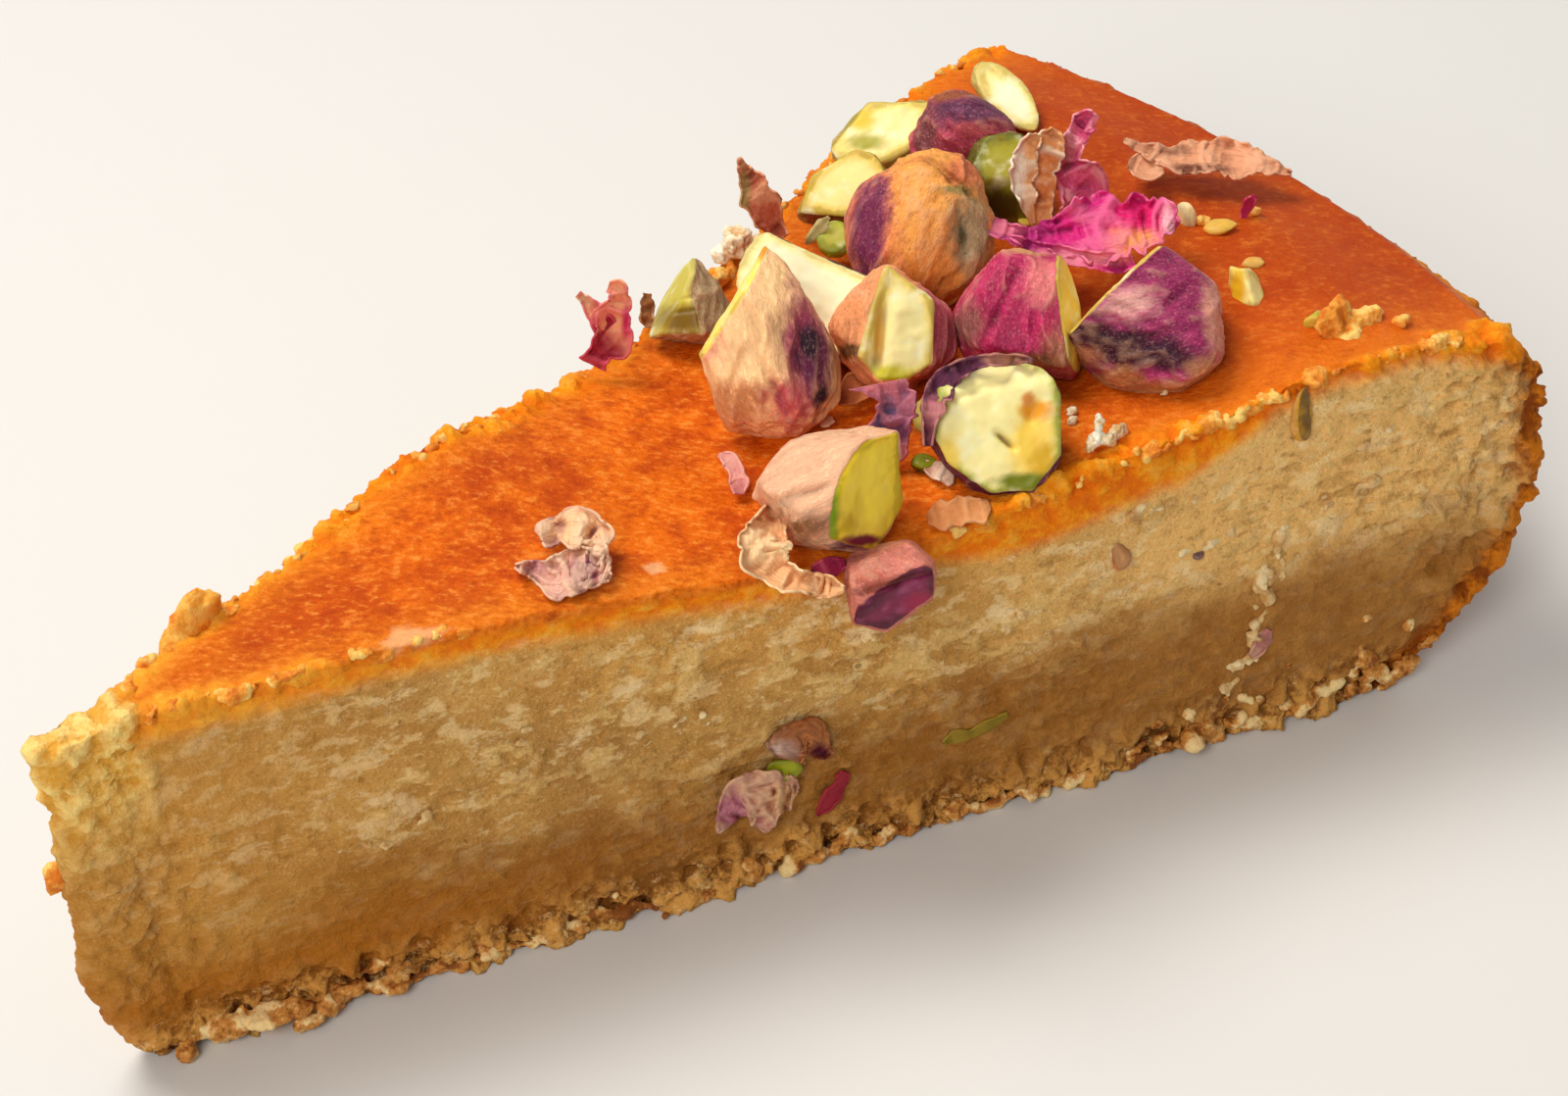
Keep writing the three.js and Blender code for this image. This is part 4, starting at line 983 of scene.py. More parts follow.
# This one was cut at an angle: green flesh at its end, peach skin behind.
add_kernel(
    "pistachio_green_end", at=(56.2, -13.2, 32.3), size=(13.6, 10.0, 10.0), along=(0.86, -0.3, 0.4),
    face=(-0.2, -0.6, 0.8),
    sides=[
        (92, 0.25, 4.25), (150, 0.2, 4.9), (218, 0.2, 4.2), (265, 0.1, 3.8), (2, 0.1, 4.8),
        (130, 1.1, 4.0),
    ],
    cuts=[(344, 0.75, 3.2)], dents=[((-2.0, -0.2), 2.2, 0.4, 15, 0.5), ((2.0, -1.6), 1.6, 0.8, 80, 0.4)],
    shrunk=0.06, seed=2,
    look=dict(
        skin=PEACH, blush=(226, 150, 110), marks=0.25, flesh=(255, 222, 62), rind=(240, 206, 30),
        blush_share=0.4, milk=(255, 226, 90),
        patches=[((-1.6, -2.4), (2.2, 1.2), (140, 88, 50)), ((1.8, -3.6), (1.8, 0.6), PURPLE)],
        spots=[
            ((-0.2, -1.4), (0.6, 3.0), (116, 146, 8)), ((1.0, -2.2), (0.6, 0.9), (214, 180, 24)),
            ((2.2, -3.4), (1.6, 0.4), (120, 20, 50)),
        ],
    ),
)

# A long half leans back on the heap, skin to the front, with a dark stripe
# down its right side and the bright edge of its cut on the left.
add_kernel(
    "pistachio_leaning_half", at=(61.4, 2.6, 34.6), size=(16.4, 14.0, 9.8), along=(0.29, 0.62, 0.69),
    face=(0.24, 0.9, -0.34),
    sides=[
        (28.7, 0.12, 4.9), (11, 0.15, 5.5), (318, 0.2, 7.2), (268, 0.25, 6.4), (200, 0.2, 4.25),
        (185, 2.0, 3.9), (10, 1.35, 4.4), (250, 1.4, 5.0), (144, -3.0, 0.8),
    ],
    cuts=[(149, 0.16, 3.2)],
    dents=[
        ((-1.4, -2.6), 2.2, 0.4, 70, 0.4), ((1.4, -3.4), 3.0, 0.3, 120, 0.5),
        ((0.2, 0.6), 2.4, 0.4, 105, 0.35),
    ],
    seed=3,
    look=dict(
        skin=(248, 200, 142), blush=(238, 164, 132), flesh=(245, 228, 90), rind=LEMON, marks=0.25,
        patches=[
            ((-1.8, -4.8), (2.6, 1.8), (206, 140, 88)), ((3.8, -0.6), (1.7, 5.4), (160, 60, 84)),
            ((2.6, -4.4), (1.6, 1.8), (200, 90, 96)), ((4.3, -1.4), (1.3, 2.6), PURPLE),
            ((4.0, -0.2), (0.7, 1.0), NIGHT), ((4.8, -4.0), (0.6, 0.8), NIGHT),
        ],
        spots=[((1.0, 6.8), (0.9, 0.9), (230, 150, 30))],
    ),
)

# A kernel that split as it dried shows flesh down its middle.
add_kernel(
    "pistachio_split", at=(70.6, -2.2, 34.2), size=(12.4, 12.4, 10.0), along=(0.25, 0.35, 0.9),
    face=(-0.1, -0.85, 0.5),
    sides=[
        (135, 0.1, 3.95), (220, 0.15, 3.6), (272, 0.1, 4.05), (300, 0.1, 3.95), (2, 0.1, 4.9),
        (53, 0.1, 3.8), (168, 1.05, 3.15), (355, 0.6, 3.7),
    ],
    cuts=[(300, 9, 2.5)], dents=[((-0.9, -0.4), 2.6, 0.5, 84, 0.9), ((-1.5, -2.9), 0.9, 0.6, 60, 0.4)],
    shrunk=0.06, seed=4,
    look=dict(
        skin=(236, 156, 100), blush=(216, 124, 84), flesh=IVORY, rind=LEMON,
        patches=[((3.6, -0.4), (1.9, 5.5), (186, 84, 98)), ((-3.0, -1.6), (1.2, 0.5), (110, 70, 30))],
        # The second spot is painted shade in the groove down the flesh.
        spots=[((-0.2, -3.4), (1.8, 0.8), (200, 190, 40)), ((-1.0, -0.4), (0.35, 2.2), (222, 172, 76))],
    ),
)

# A magenta half, its cut edge turned to the right.
add_kernel(
    "pistachio_magenta_half", at=(78.6, -7.4, 34.4), size=(13.4, 13.0, 10.4), along=(0.3, 0.3, 0.9),
    face=(0.72, -0.62, 0.1),
    sides=[
        (82, 0.1, 5.15), (143, 0.1, 4.05), (214, 0.2, 4.1), (256, 0.15, 3.5), (0, 0.0, 4.9),
        (200, 14, 3.4), (196, 1.0, 4.1), (84, 1.2, 4.7),
    ],
    cuts=[(8, 0.3, 4.0)], dents=[((-1.6, 0.4), 3.0, 0.3, 64, 0.3), ((1.4, -2.0), 2.0, 0.3, 110, 0.3)],
    seed=5,
    look=dict(
        skin=(190, 34, 92), blush=(140, 16, 60), flesh=LEMON, rind=LEMON, blush_share=0.55,
        patches=[
            ((1.6, 2.6), (1.4, 1.6), (226, 120, 120)), ((0.6, 5.2), (2.4, 0.5), (214, 150, 100)),
            ((3.2, -2.6), (1.6, 2.0), (160, 90, 66)), ((-3.8, -0.4), (1.1, 1.6), (150, 84, 80)),
            ((0.4, -3.4), (3.2, 0.5), (160, 100, 60)),
        ],
    ),
)

# The largest half lies face down on the right of the heap.
add_kernel(
    "pistachio_purple_dome", at=(85.2, -14.6, 34.8), size=(15.0, 13.4, 11.4), along=(0.75, -0.5, 0.2),
    face=(0.1, -0.2, 0.97),
    sides=[
        (53, 0.1, 5.2), (5, 0.15, 5.3), (306, 0.15, 5.7), (268, 0.15, 5.0), (227, 0.2, 4.9),
        (72, 1.9, 4.1), (232, 1.45, 3.7), (30, 1.3, 4.8),
    ],
    cuts=[(134, -0.06, 3.6)], dents=[((1.6, 1.6), 1.8, 0.4, 40, 0.3), ((-1.4, 0.4), 2.8, 0.3, -30, 0.25)],
    seed=6,
    look=dict(
        skin=(150, 34, 88), blush=(176, 52, 108), flesh=(238, 214, 150), rind=LEMON,
        patches=[
            ((-2.0, 1.2), (2.0, 1.4), (232, 168, 160)), ((-4.4, -0.9), (1.6, 1.0), (70, 10, 34)),
            ((-2.4, -1.8), (2.3, 1.3), (56, 4, 34)), ((0.4, -2.6), (2.5, 1.3), (62, 4, 40)),
            ((4.9, 0.4), (1.2, 3.4), (222, 150, 130)), ((-5.2, -2.6), (1.5, 0.8), (190, 124, 84)),
            ((-2.4, -4.3), (2.2, 0.9), (190, 124, 76)), ((1.0, -5.0), (3.0, 0.9), (180, 118, 66)),
            ((4.2, -4.2), (1.8, 1.3), (196, 136, 96)),
        ],
    ),
)

# The one whole kernel stands on end in the middle of the heap.
add_kernel(
    "pistachio_whole", at=(80.2, 5.8, 35.2), size=(13.8, 11.4, 11.2), along=(0.35, -0.1, 0.93),
    face=(-0.3, -0.7, 0.6), sides=[(145, 0.15, 5.9), (178, 1.0, 5.2)],
    dents=[
        ((2.2, 3.4), 3.0, 0.35, -42, 0.7), ((2.9, -0.9), 1.5, 0.7, -75, 0.5),
        ((-2.6, -1.0), 3.0, 0.4, 86, 0.35),
    ],
    shrunk=0.07, seed=7,
    look=dict(
        skin=(238, 160, 70), blush=(222, 128, 64), flesh=IVORY, rind=LEMON, blush_share=0.45,
        # The last three patches are painted shade in its dents on the right.
        patches=[
            ((-4.4, 0.0), (2.2, 5.4), (214, 106, 88)), ((-4.2, 0.0), (1.5, 4.8), (122, 36, 76)),
            ((3.3, 4.2), (1.9, 1.6), (206, 110, 60)), ((3.6, -0.6), (1.9, 3.2), (178, 154, 112)),
            ((2.9, -0.9), (0.3, 0.8), (104, 96, 54)), ((2.4, 2.6), (1.2, 0.4), (150, 130, 66)),
        ],
    ),
)

# A half with its flat pale face up, wedged behind the leaning one.
add_kernel(
    "pistachio_pale_half", at=(69.4, 6.0, 33.6), size=(13.0, 9.4, 8.4), along=(0.45, -0.77, -0.45),
    face=(-0.34, -0.5, 0.85), sides=[(63, -0.1, 3.0)], cuts=[(158, 3.5, 0.6)], shrunk=0.03, seed=8,
    look=dict(skin=NIGHT, blush=PURPLE, flesh=(255, 250, 206), rind=(250, 232, 130)),
)

# Four pieces stand behind the whole kernel: a cream half, a green stub, a
# purple half and a pale one.
add_kernel(
    "pistachio_cream_shell", at=(79.4, 14.6, 33.4), size=(9.8, 8.8, 7.0), along=(0.5, 0.1, 0.85),
    face=(-0.6, -0.6, 0.5), sides=[(122, 0.0, 3.5), (160, 0.1, 3.2), (258, 0.3, 0.9)],
    cuts=[(170, 3.0, 0.5)], shrunk=0.04, seed=9,
    look=dict(
        skin=(160, 140, 40), blush=LIME, flesh=(250, 232, 150), rind=(226, 190, 50),
        # Its patch is a painted shadow in the hollow under the shell.
        patches=[((-1.0, -0.6), (2.6, 0.8), (120, 50, 16))],
    ),
)
add_kernel(
    "pistachio_green_stub", at=(90.2, 8.4, 34.6), size=(9.4, 7.6, 7.4), along=(0.1, 0.3, 0.95),
    face=(-0.2, -0.9, 0.4), sides=[(95, 0.2, 3.4), (155, 0.2, 2.7), (185, 0.3, 2.5)],
    cuts=[(115, 4.0, 2.3), (262, 1.6, 2.2)], shrunk=0.03, seed=10,
    look=dict(
        skin=(96, 92, 8), blush=OLIVE, flesh=(164, 156, 34), rind=(120, 120, 10),
        spots=[((0.0, -2.4), (3.4, 1.5), (70, 56, 4))],
    ),
)
add_kernel(
    "pistachio_purple_back", at=(91.5, 14.4, 35.3), size=(10.2, 8.8, 8.4), along=(0.85, -0.2, -0.45),
    face=(-0.3, -0.3, 0.9),
    sides=[(100, 0.3, 3.3), (60, 0.2, 3.2), (150, 0.2, 3.5), (178, 0.9, 3.4), (262, 1.1, 3.1)],
    dents=[((0.2, 1.9), 3.2, 0.3, -10, 0.3)], seed=11,
    look=dict(
        skin=(176, 58, 84), blush=(190, 80, 90), flesh=IVORY, rind=LEMON,
        patches=[
            ((0.2, 1.6), (3.8, 1.5), (98, 40, 76)), ((-3.0, 0.0), (0.9, 2.4), (120, 50, 56)),
            ((-0.2, 3.2), (3.2, 0.6), (150, 74, 38)),
        ],
    ),
)
add_kernel(
    "pistachio_pale_back", at=(88.6, 20.8, 33.8), size=(9.8, 6.4, 6.0), along=(0.92, -0.3, 0.2),
    face=(-0.4, -0.5, 0.75), sides=[(90, 0.1, 2.4), (140, 0.2, 2.6)], cuts=[(110, 2.6, 1.2)], shrunk=0.04,
    seed=12,
    look=dict(
        skin=(170, 150, 60), blush=(120, 100, 40), flesh=IVORY, rind=LEMON,
        spots=[((-2.0, 1.0), (1.0, 0.9), (226, 196, 50)), ((-1.6, -1.0), (1.6, 0.7), (176, 168, 60))],
    ),
)

# Chips: a sliver at the back, an olive wedge on the far edge, a chunk that
# hangs over the near edge and a green crumb between the kernels.
add_kernel(
    "pistachio_sliver", at=(99.8, 18.6, 33.6), size=(9.0, 3.8, 3.4), along=(-0.13, -0.95, -0.15),
    face=(-0.3, -0.2, 0.9), cuts=[(88, 1.5, 0.5)], shrunk=0.03, seed=13,
    look=dict(skin=(190, 170, 90), blush=LEMON, flesh=(252, 248, 206), rind=LEMON),
)
add_kernel(
    "pistachio_olive_wedge", at=(63.2, 13.6, 31.6), size=(8.6, 7.0, 6.4), along=(0.6, 0.1, 0.8),
    face=(-0.8, 0.2, 0.5), sides=[(38, 0.3, 2.3), (268, 0.1, 2.5), (20, 1.2, 1.8)],
    cuts=[(153, 0.35, 1.3), (185, 2.4, 1.9)],
    dents=[((-0.6, -0.6), 1.6, 0.15, 4, 0.25), ((-0.6, 0.4), 1.2, 0.12, 4, 0.2)], seed=14,
    look=dict(
        skin=(180, 150, 110), blush=(150, 110, 70), flesh=(196, 180, 60), rind=(226, 214, 110),
        spots=[((-0.4, -1.2), (2.2, 1.2), (120, 90, 14))],
    ),
)
add_kernel(
    "pistachio_edge_chunk", at=(56.2, -19.3, 27.9), size=(8.6, 8.6, 7.2), along=(0.4, -0.7, -0.6),
    face=(-0.4, -0.3, 0.86),
    sides=[
        (109, 0.15, 2.2), (51, 0.2, 3.1), (0, 0.1, 3.3), (305, 0.1, 2.7), (261, 0.1, 3.3),
        (185, 0.1, 2.7), (104, 1.3, 2.5), (285, 2.2, 2.6),
    ],
    cuts=[(300, 0.78, 2.0)], dents=[((0.4, 0.0), 3.4, 0.25, 17, 0.6)], shrunk=0.07, round_off=30, seed=15,
    look=dict(
        skin=(206, 120, 104), blush=(190, 96, 76), flesh=(132, 26, 74), rind=(96, 10, 46),
        spots=[((2.6, -1.8), (1.4, 0.9), (160, 22, 70))], milk=(176, 84, 124),
    ),
)
add_kernel(
    "pistachio_green_crumb", at=(77.0, 13.0, 32.1), size=(3.4, 2.8, 3.0), along=(0.3, 0.1, 0.95),
    face=(-0.5, -0.5, 0.7), cuts=[(100, 3.0, 0.7)], shrunk=0.04, seed=16,
    look=dict(skin=LIME, blush=OLIVE, flesh=(190, 180, 80), rind=LIME),
)

# Dried rose petals, scattered last. They are thin, stiff and curled, magenta
# to cream, with fine veins and frilled edges.
PETAL_THICK = 0.18
PETAL_CELLS = (150, 60)
LIP_STEPS = 40


def along_rows(rows, share):
    """Values between the stations of a petal, without sharp corners."""
    rows = np.array(rows, dtype=float)
    steps = np.linspace(0, 1, 241)
    fine = np.stack([np.interp(steps, np.linspace(0, 1, len(rows)), row) for row in rows.T], 1)
    window = np.hanning(2 * (100 // len(rows)) + 3)
    half = len(window) // 2
    padded = np.pad(fine, ((half, half), (0, 0)), mode="reflect", reflect_type="odd")
    fine = np.stack([np.convolve(row, window / window.sum(), "valid") for row in padded.T], 1)
    return np.stack([np.interp(share, steps, row) for row in fine.T], 1)


def rolled_lip(v, lip):
    """How far out and how far up a sheet reaches that curls more towards its edge."""
    out, lift, full = np.zeros((3, len(v)))
    for k in range(1, LIP_STEPS + 1):
        angle = lip * (k / LIP_STEPS) ** 2.2
        reached = np.clip(np.abs(v) * LIP_STEPS - (k - 1), 0, 1) / LIP_STEPS
        out += np.cos(angle) * reached
        lift += np.sin(angle) * reached
        full += np.maximum(np.cos(angle), 0) / LIP_STEPS
    return out / full, lift / full


def petal(
    name, at, path, lips=(0.6, 0.6), lean=0.0, aside=0.0, folds=0.5, pleat=1.7, frill=0.35, bow=0.0,
    cells=PETAL_CELLS, seed=1,
):
    """A sheet along a path as the camera sees it: right, up and its two widths.

    lips is how far each edge rolls over, lean and aside how fast the sheet
    comes to the front upwards and to the right, folds how deep it is
    crumpled, pleat how far its folds are apart and bow how far its ends drop.
    """
    bpy.ops.object.select_all(action="DESELECT")
    bpy.ops.mesh.primitive_grid_add(x_subdivisions=cells[0], y_subdivisions=cells[1], size=2 * MM)
    piece = bpy.context.object
    piece.name = name
    flat = read_points(piece) - TIP
    share = (flat[:, 0] + 1) / 2
    v = flat[:, 1]
    station = along_rows(path, share)
    after = along_rows(path, np.clip(share + 0.01, 0, 1))[:, :2]
    ahead = after - along_rows(path, np.clip(share - 0.01, 0, 1))[:, :2]
    length = np.linalg.norm(ahead, axis=1, keepdims=True) + 1e-6
    side = np.stack((-ahead[:, 1], ahead[:, 0]), 1) / length
    run = share * np.linalg.norm(np.diff(np.array(path)[:, :2], axis=0), axis=1).sum()
    width = np.where(v > 0, station[:, 2], station[:, 3])
    edges = np.stack((run, np.sign(v) * 9, 0 * run), 1)
    torn = 1 + 0.24 * lattice(edges, 0.9, seed + 20)
    torn += 0.14 * lattice(edges, 0.35, seed + 24)
    width = np.maximum(width, 0.05) * torn * 1.12
    out, lift = rolled_lip(v, np.where(v > 0, lips[0], lips[1]))
    place = station[:, :2] + side * (np.sign(v) * out * width)[:, None]
    sheet = np.stack((run, v * width, 0 * run), 1)
    warp = sheet + 0.3 * pleat * np.stack([lattice(sheet, pleat, seed + k) for k in (41, 42, 43)], 1)
    crumple = 1.3 * folds * (0.55 - np.abs(lattice(warp * (1.0, 0.6, 1), pleat, seed + 21)))
    crumple += 0.8 * folds * (0.5 - np.abs(lattice(warp * (1.0, 0.6, 1), 0.44 * pleat, seed + 22)))
    crumple += 0.3 * folds * craggy(sheet, 0.9, seed + 25)
    edge = np.clip(np.abs(v) * 2.4 - 1.4, 0, 1) ** 1.5
    fringe = frill * edge * lattice(sheet * (1.0, 0.3, 1), 0.75, seed + 23)
    rise = lift * width + crumple + fringe - bow * (2 * share - 1) ** 2
    seen = np.stack((place[:, 0], place[:, 1], rise + lean * place[:, 1] + aside * place[:, 0]), 1)
    write_points(piece, seen @ SCREEN + np.array(at))
    store(piece, fold=crumple / max(folds, 0.01), edge=np.abs(v))
    store(piece, sheet=np.stack((share, v, 0 * v), 1), seen=seen)
    modifier(piece, "SOLIDIFY", thickness=PETAL_THICK * MM, offset=0)
    bpy.ops.object.shade_smooth()
    return piece


def petal_paint(name, body, edge, heel, heel_at=0.0, dark=(96, 14, 48), patches=()):
    """Petal colour from heel to tip with paler edges and darker veins, painted shade in the folds and painted
    highlight on their crests.
    """
    paint = Paint(name)
    sheet = paint.named("sheet", "Vector")
    share, _ = paint.parts(sheet)
    across, up = paint.parts(paint.named("seen", "Vector"))
    fold = paint.named("fold")
    veins = paint.noise(paint.drawn_out(sheet, Scale=(0.5, 0.16, 1)), 3.0, Detail=5.0, Distortion=0.6)
    clouds = paint.noise(paint.place, 1 / (2.2 * MM), Detail=3.0)
    fine = paint.noise(paint.place, 1 / (0.45 * MM), Detail=4.0)
    ragged = (clouds - 0.5) * 0.8 + (fine - 0.5) * 0.4
    outer = paint.named("edge") + (clouds - 0.5) * 1.2 + (fine - 0.5) * 0.5
    color = paint.coat(
        paint.mix((share + (clouds - 0.5) * 0.5).rise(heel_at + 0.15, heel_at - 0.15), body, heel),
        *((patch(across, up, *place, ragged), tint) for *place, tint in patches),
        (veins.rise(0.52, 0.3) * 0.45, dark),
        # painted shade in the creases of the folds, in the dark colour
        (fold.rise(0.15, -0.5) * 0.6, dark),
        (outer.rise(0.86, 1.1) * 0.7, edge),
        (fine.rise(0.52, 0.8) * 0.35, edge),
        # painted highlight on the crests of the folds, in the edge colour
        (fold.rise(0.4, 0.8) * 0.5, edge),
    )
    normal = paint.bump(veins * 0.6 + fine * 0.4, 0.12)
    return paint.finish(color, 0.6, normal, glow=0.15, glow_depth=0.5, shine=0.25)


def add_petal(node, look, *shapes):
    """A petal of one sheet, or of two that grew together."""
    sheets = [petal(f"{node}_dry", **shape) for shape in shapes]
    if len(sheets) > 1:
        pick(*sheets)
        bpy.ops.object.join()
    dress(sheets[0], petal_paint(node.replace("_", " ") + " finish", **look), node)


# The largest petal lies over two kernels, its lower edge rolled up and its
# left end drawn out to a frilled tail.
add_petal(
    "petal_magenta_large",
    dict(
        body=(206, 26, 118), edge=(240, 120, 160), heel=(170, 30, 110), heel_at=0.3, dark=(110, 8, 64),
        # The third patch is the paler rolled lower edge, lightened further as a painted highlight.
        patches=[
            ((4.4, -0.6), (2.4, 1.4), (238, 150, 90)), ((4.6, 1.6), (2.2, 1.2), (228, 24, 110)),
            ((-0.6, -2.0), (4.2, 0.7), (240, 140, 156)), ((6.9, 1.0), (0.5, 1.6), (246, 214, 206)),
            ((-6.0, 0.6), (1.6, 0.7), (240, 130, 156)),
        ],
    ),
    dict(
        at=(88.2, -3.4, 35.8),
        path=[
            (-7.8, 1.4, 0.3, 0.3), (-6.1, 0.6, 0.6, 0.8), (-4.2, 0.0, 0.6, 0.8), (-2.0, 0.0, 1.1, 1.4),
            (0.3, 0.4, 2.0, 2.2), (2.6, 0.8, 2.1, 2.6), (4.8, 1.1, 2.1, 2.4), (6.7, 1.1, 1.5, 1.4),
            (7.5, 0.6, 0.4, 0.5),
        ],
        lips=(0.9, 1.6), lean=-0.55, folds=0.9, frill=0.6, bow=0.8, seed=1,
    ),
    dict(
        at=(87.8, -4.0, 36.4),
        path=[
            (-5.4, -0.2, 0.1, 0.1), (-3.6, -1.2, 0.5, 0.5), (-1.4, -1.8, 0.7, 0.6), (1.0, -2.2, 0.7, 0.7),
            (3.0, -2.5, 0.6, 0.6), (4.0, -2.2, 0.3, 0.3),
        ],
        lips=(2.2, 2.0), lean=-0.55, frill=0.5, bow=0.4, cells=(90, 30), seed=21,
    ),
)

# Two narrow petals stand behind it: a cream one with a rolled pale edge and
# a crumpled magenta one.
add_petal(
    "petal_cream_curl",
    dict(
        body=(248, 182, 120), edge=(255, 238, 214), heel=(240, 156, 120), dark=(176, 96, 54),
        patches=[((-1.4, 0.6), (0.6, 3.6), (255, 236, 214)), ((1.0, 1.0), (0.7, 2.4), (236, 150, 84))],
    ),
    dict(
        at=(90.5, 4.5, 35.7),
        path=[
            (0.7, -3.8, 0.3, 0.4), (0.6, -2.4, 0.8, 0.6), (0.6, -0.6, 1.1, 0.8), (0.7, 1.2, 1.2, 1.0),
            (1.0, 2.8, 1.2, 1.0), (1.6, 4.1, 0.4, 0.4),
        ],
        lips=(1.2, 1.0), lean=0.5, frill=0.6, seed=2,
    ),
    dict(
        at=(90.1, 4.0, 36.0),
        path=[
            (0.0, -2.9, 0.1, 0.1), (-0.5, -1.2, 0.6, 0.5), (-0.8, 0.2, 1.0, 0.6), (-0.7, 1.6, 1.1, 0.7),
            (-0.5, 2.9, 0.9, 0.7), (0.2, 3.7, 0.2, 0.2),
        ],
        lips=(2.2, 1.6), lean=0.5, folds=0.4, frill=1.0, cells=(90, 36), seed=22,
    ),
)
add_petal(
    "petal_magenta_curl",
    dict(
        body=(228, 92, 138), edge=(252, 180, 184), heel=(230, 104, 124), heel_at=0.3, dark=(140, 28, 76),
        # The first patch is a painted highlight on the crumpled sheet.
        patches=[((-1.2, 1.6), (0.6, 1.8), (226, 150, 160)), ((0.2, -1.4), (1.8, 0.9), (220, 90, 136))],
    ),
    dict(
        at=(94.8, 3.8, 35.6),
        path=[
            (-0.9, -3.7, 0.8, 0.6), (0.1, -2.6, 1.2, 1.3), (0.4, -1.5, 1.8, 1.6), (-0.6, -0.6, 1.5, 1.5),
            (-1.2, 0.6, 0.8, 0.9), (-0.9, 1.9, 0.7, 0.9), (-0.4, 3.0, 0.8, 1.0), (0.2, 3.8, 0.6, 0.9),
            (1.0, 3.5, 0.3, 0.4),
        ],
        lips=(1.5, 1.9), lean=0.5, folds=0.8, pleat=1.2, frill=1.1, seed=3,
    ),
)

# A long tan petal lies at the back on its side with a small round one under
# its left end.
add_petal(
    "petal_tan_long",
    dict(
        body=(222, 154, 114), edge=(238, 178, 140), heel=(200, 136, 102), heel_at=0.2, dark=(110, 56, 34),
        # The first patch is a painted highlight on the right lobe and the last a painted shadow under its
        # lower edge.
        patches=[
            ((3.4, 0.9), (1.6, 0.9), (236, 164, 122)), ((-3.4, 1.3), (1.6, 0.6), (160, 106, 78)),
            ((-1.6, -0.5), (2.6, 0.5), (110, 58, 36)),
        ],
    ),
    dict(
        at=(105.0, -0.8, 34.1),
        path=[
            (-7.0, 2.3, 0.1, 0.2), (-5.4, 1.5, 0.5, 0.9), (-3.5, 0.7, 0.8, 1.2), (-1.5, 0.7, 1.3, 1.4),
            (0.5, 0.7, 1.7, 1.5), (2.4, 0.5, 1.1, 1.3), (4.4, -0.1, 0.6, 0.7), (6.1, -0.7, 0.1, 0.1),
        ],
        lips=(0.5, 1.3), lean=-0.95, folds=0.8, frill=0.6, bow=0.5, seed=4,
    ),
    dict(
        at=(105.0, -0.8, 34.0),
        path=[
            (-6.9, 0.3, 0.3, 0.3), (-6.2, 0.1, 1.0, 0.8), (-5.2, -0.3, 1.1, 0.8), (-4.2, -0.2, 0.3, 0.3),
        ],
        lips=(1.0, 1.4), lean=-1.0, folds=0.4, frill=0.3, seed=24,
    ),
)
add_petal(
    "sepal_brown",
    dict(
        body=(206, 116, 84), edge=(240, 176, 130), heel=(196, 96, 64), heel_at=0.35, dark=(130, 56, 40),
        patches=[((-1.2, 1.0), (0.5, 2.2), (176, 150, 90))],
    ),
    dict(
        at=(72.8, 17.0, 35.2),
        path=[
            (1.8, -2.6, 0.5, 0.5), (1.0, -1.4, 1.1, 0.8), (0.2, 0.0, 1.3, 1.1), (-0.5, 1.2, 1.0, 1.0),
            (-1.2, 2.4, 0.5, 0.5), (-1.6, 3.4, 0.1, 0.1),
        ],
        lips=(1.2, 1.2), lean=0.5, folds=0.7, frill=0.3, seed=5,
    ),
)
add_petal(
    "petal_far_edge",
    dict(
        body=(250, 176, 134), edge=(222, 90, 112), heel=(146, 8, 40), heel_at=0.32, dark=(206, 90, 96),
        patches=[((1.6, 1.0), (0.5, 1.4), (190, 30, 84)), ((-2.0, 2.8), (0.9, 0.6), (236, 190, 150))],
    ),
    dict(
        at=(55.6, 13.8, 32.0),
        path=[
            (-1.2, -2.2, 0.8, 1.2), (-0.6, -1.0, 0.9, 1.3), (0.3, 0.1, 1.2, 1.3), (0.6, 1.3, 1.6, 1.1),
            (1.05, 2.5, 0.8, 0.8), (0.9, 3.4, 0.6, 0.6), (0.1, 3.7, 0.3, 0.2),
        ],
        lips=(1.2, 1.2), lean=0.4, frill=0.3, seed=6,
    ),
    dict(
        at=(55.6, 13.8, 32.0),
        path=[(0.1, 0.6, 0.8, 0.8), (-0.9, 1.7, 0.7, 0.7), (-1.6, 2.6, 0.4, 0.4), (-2.2, 3.1, 0.2, 0.2)],
        lips=(1.0, 1.0), lean=0.4, folds=0.3, frill=0.2, seed=26,
    ),
)

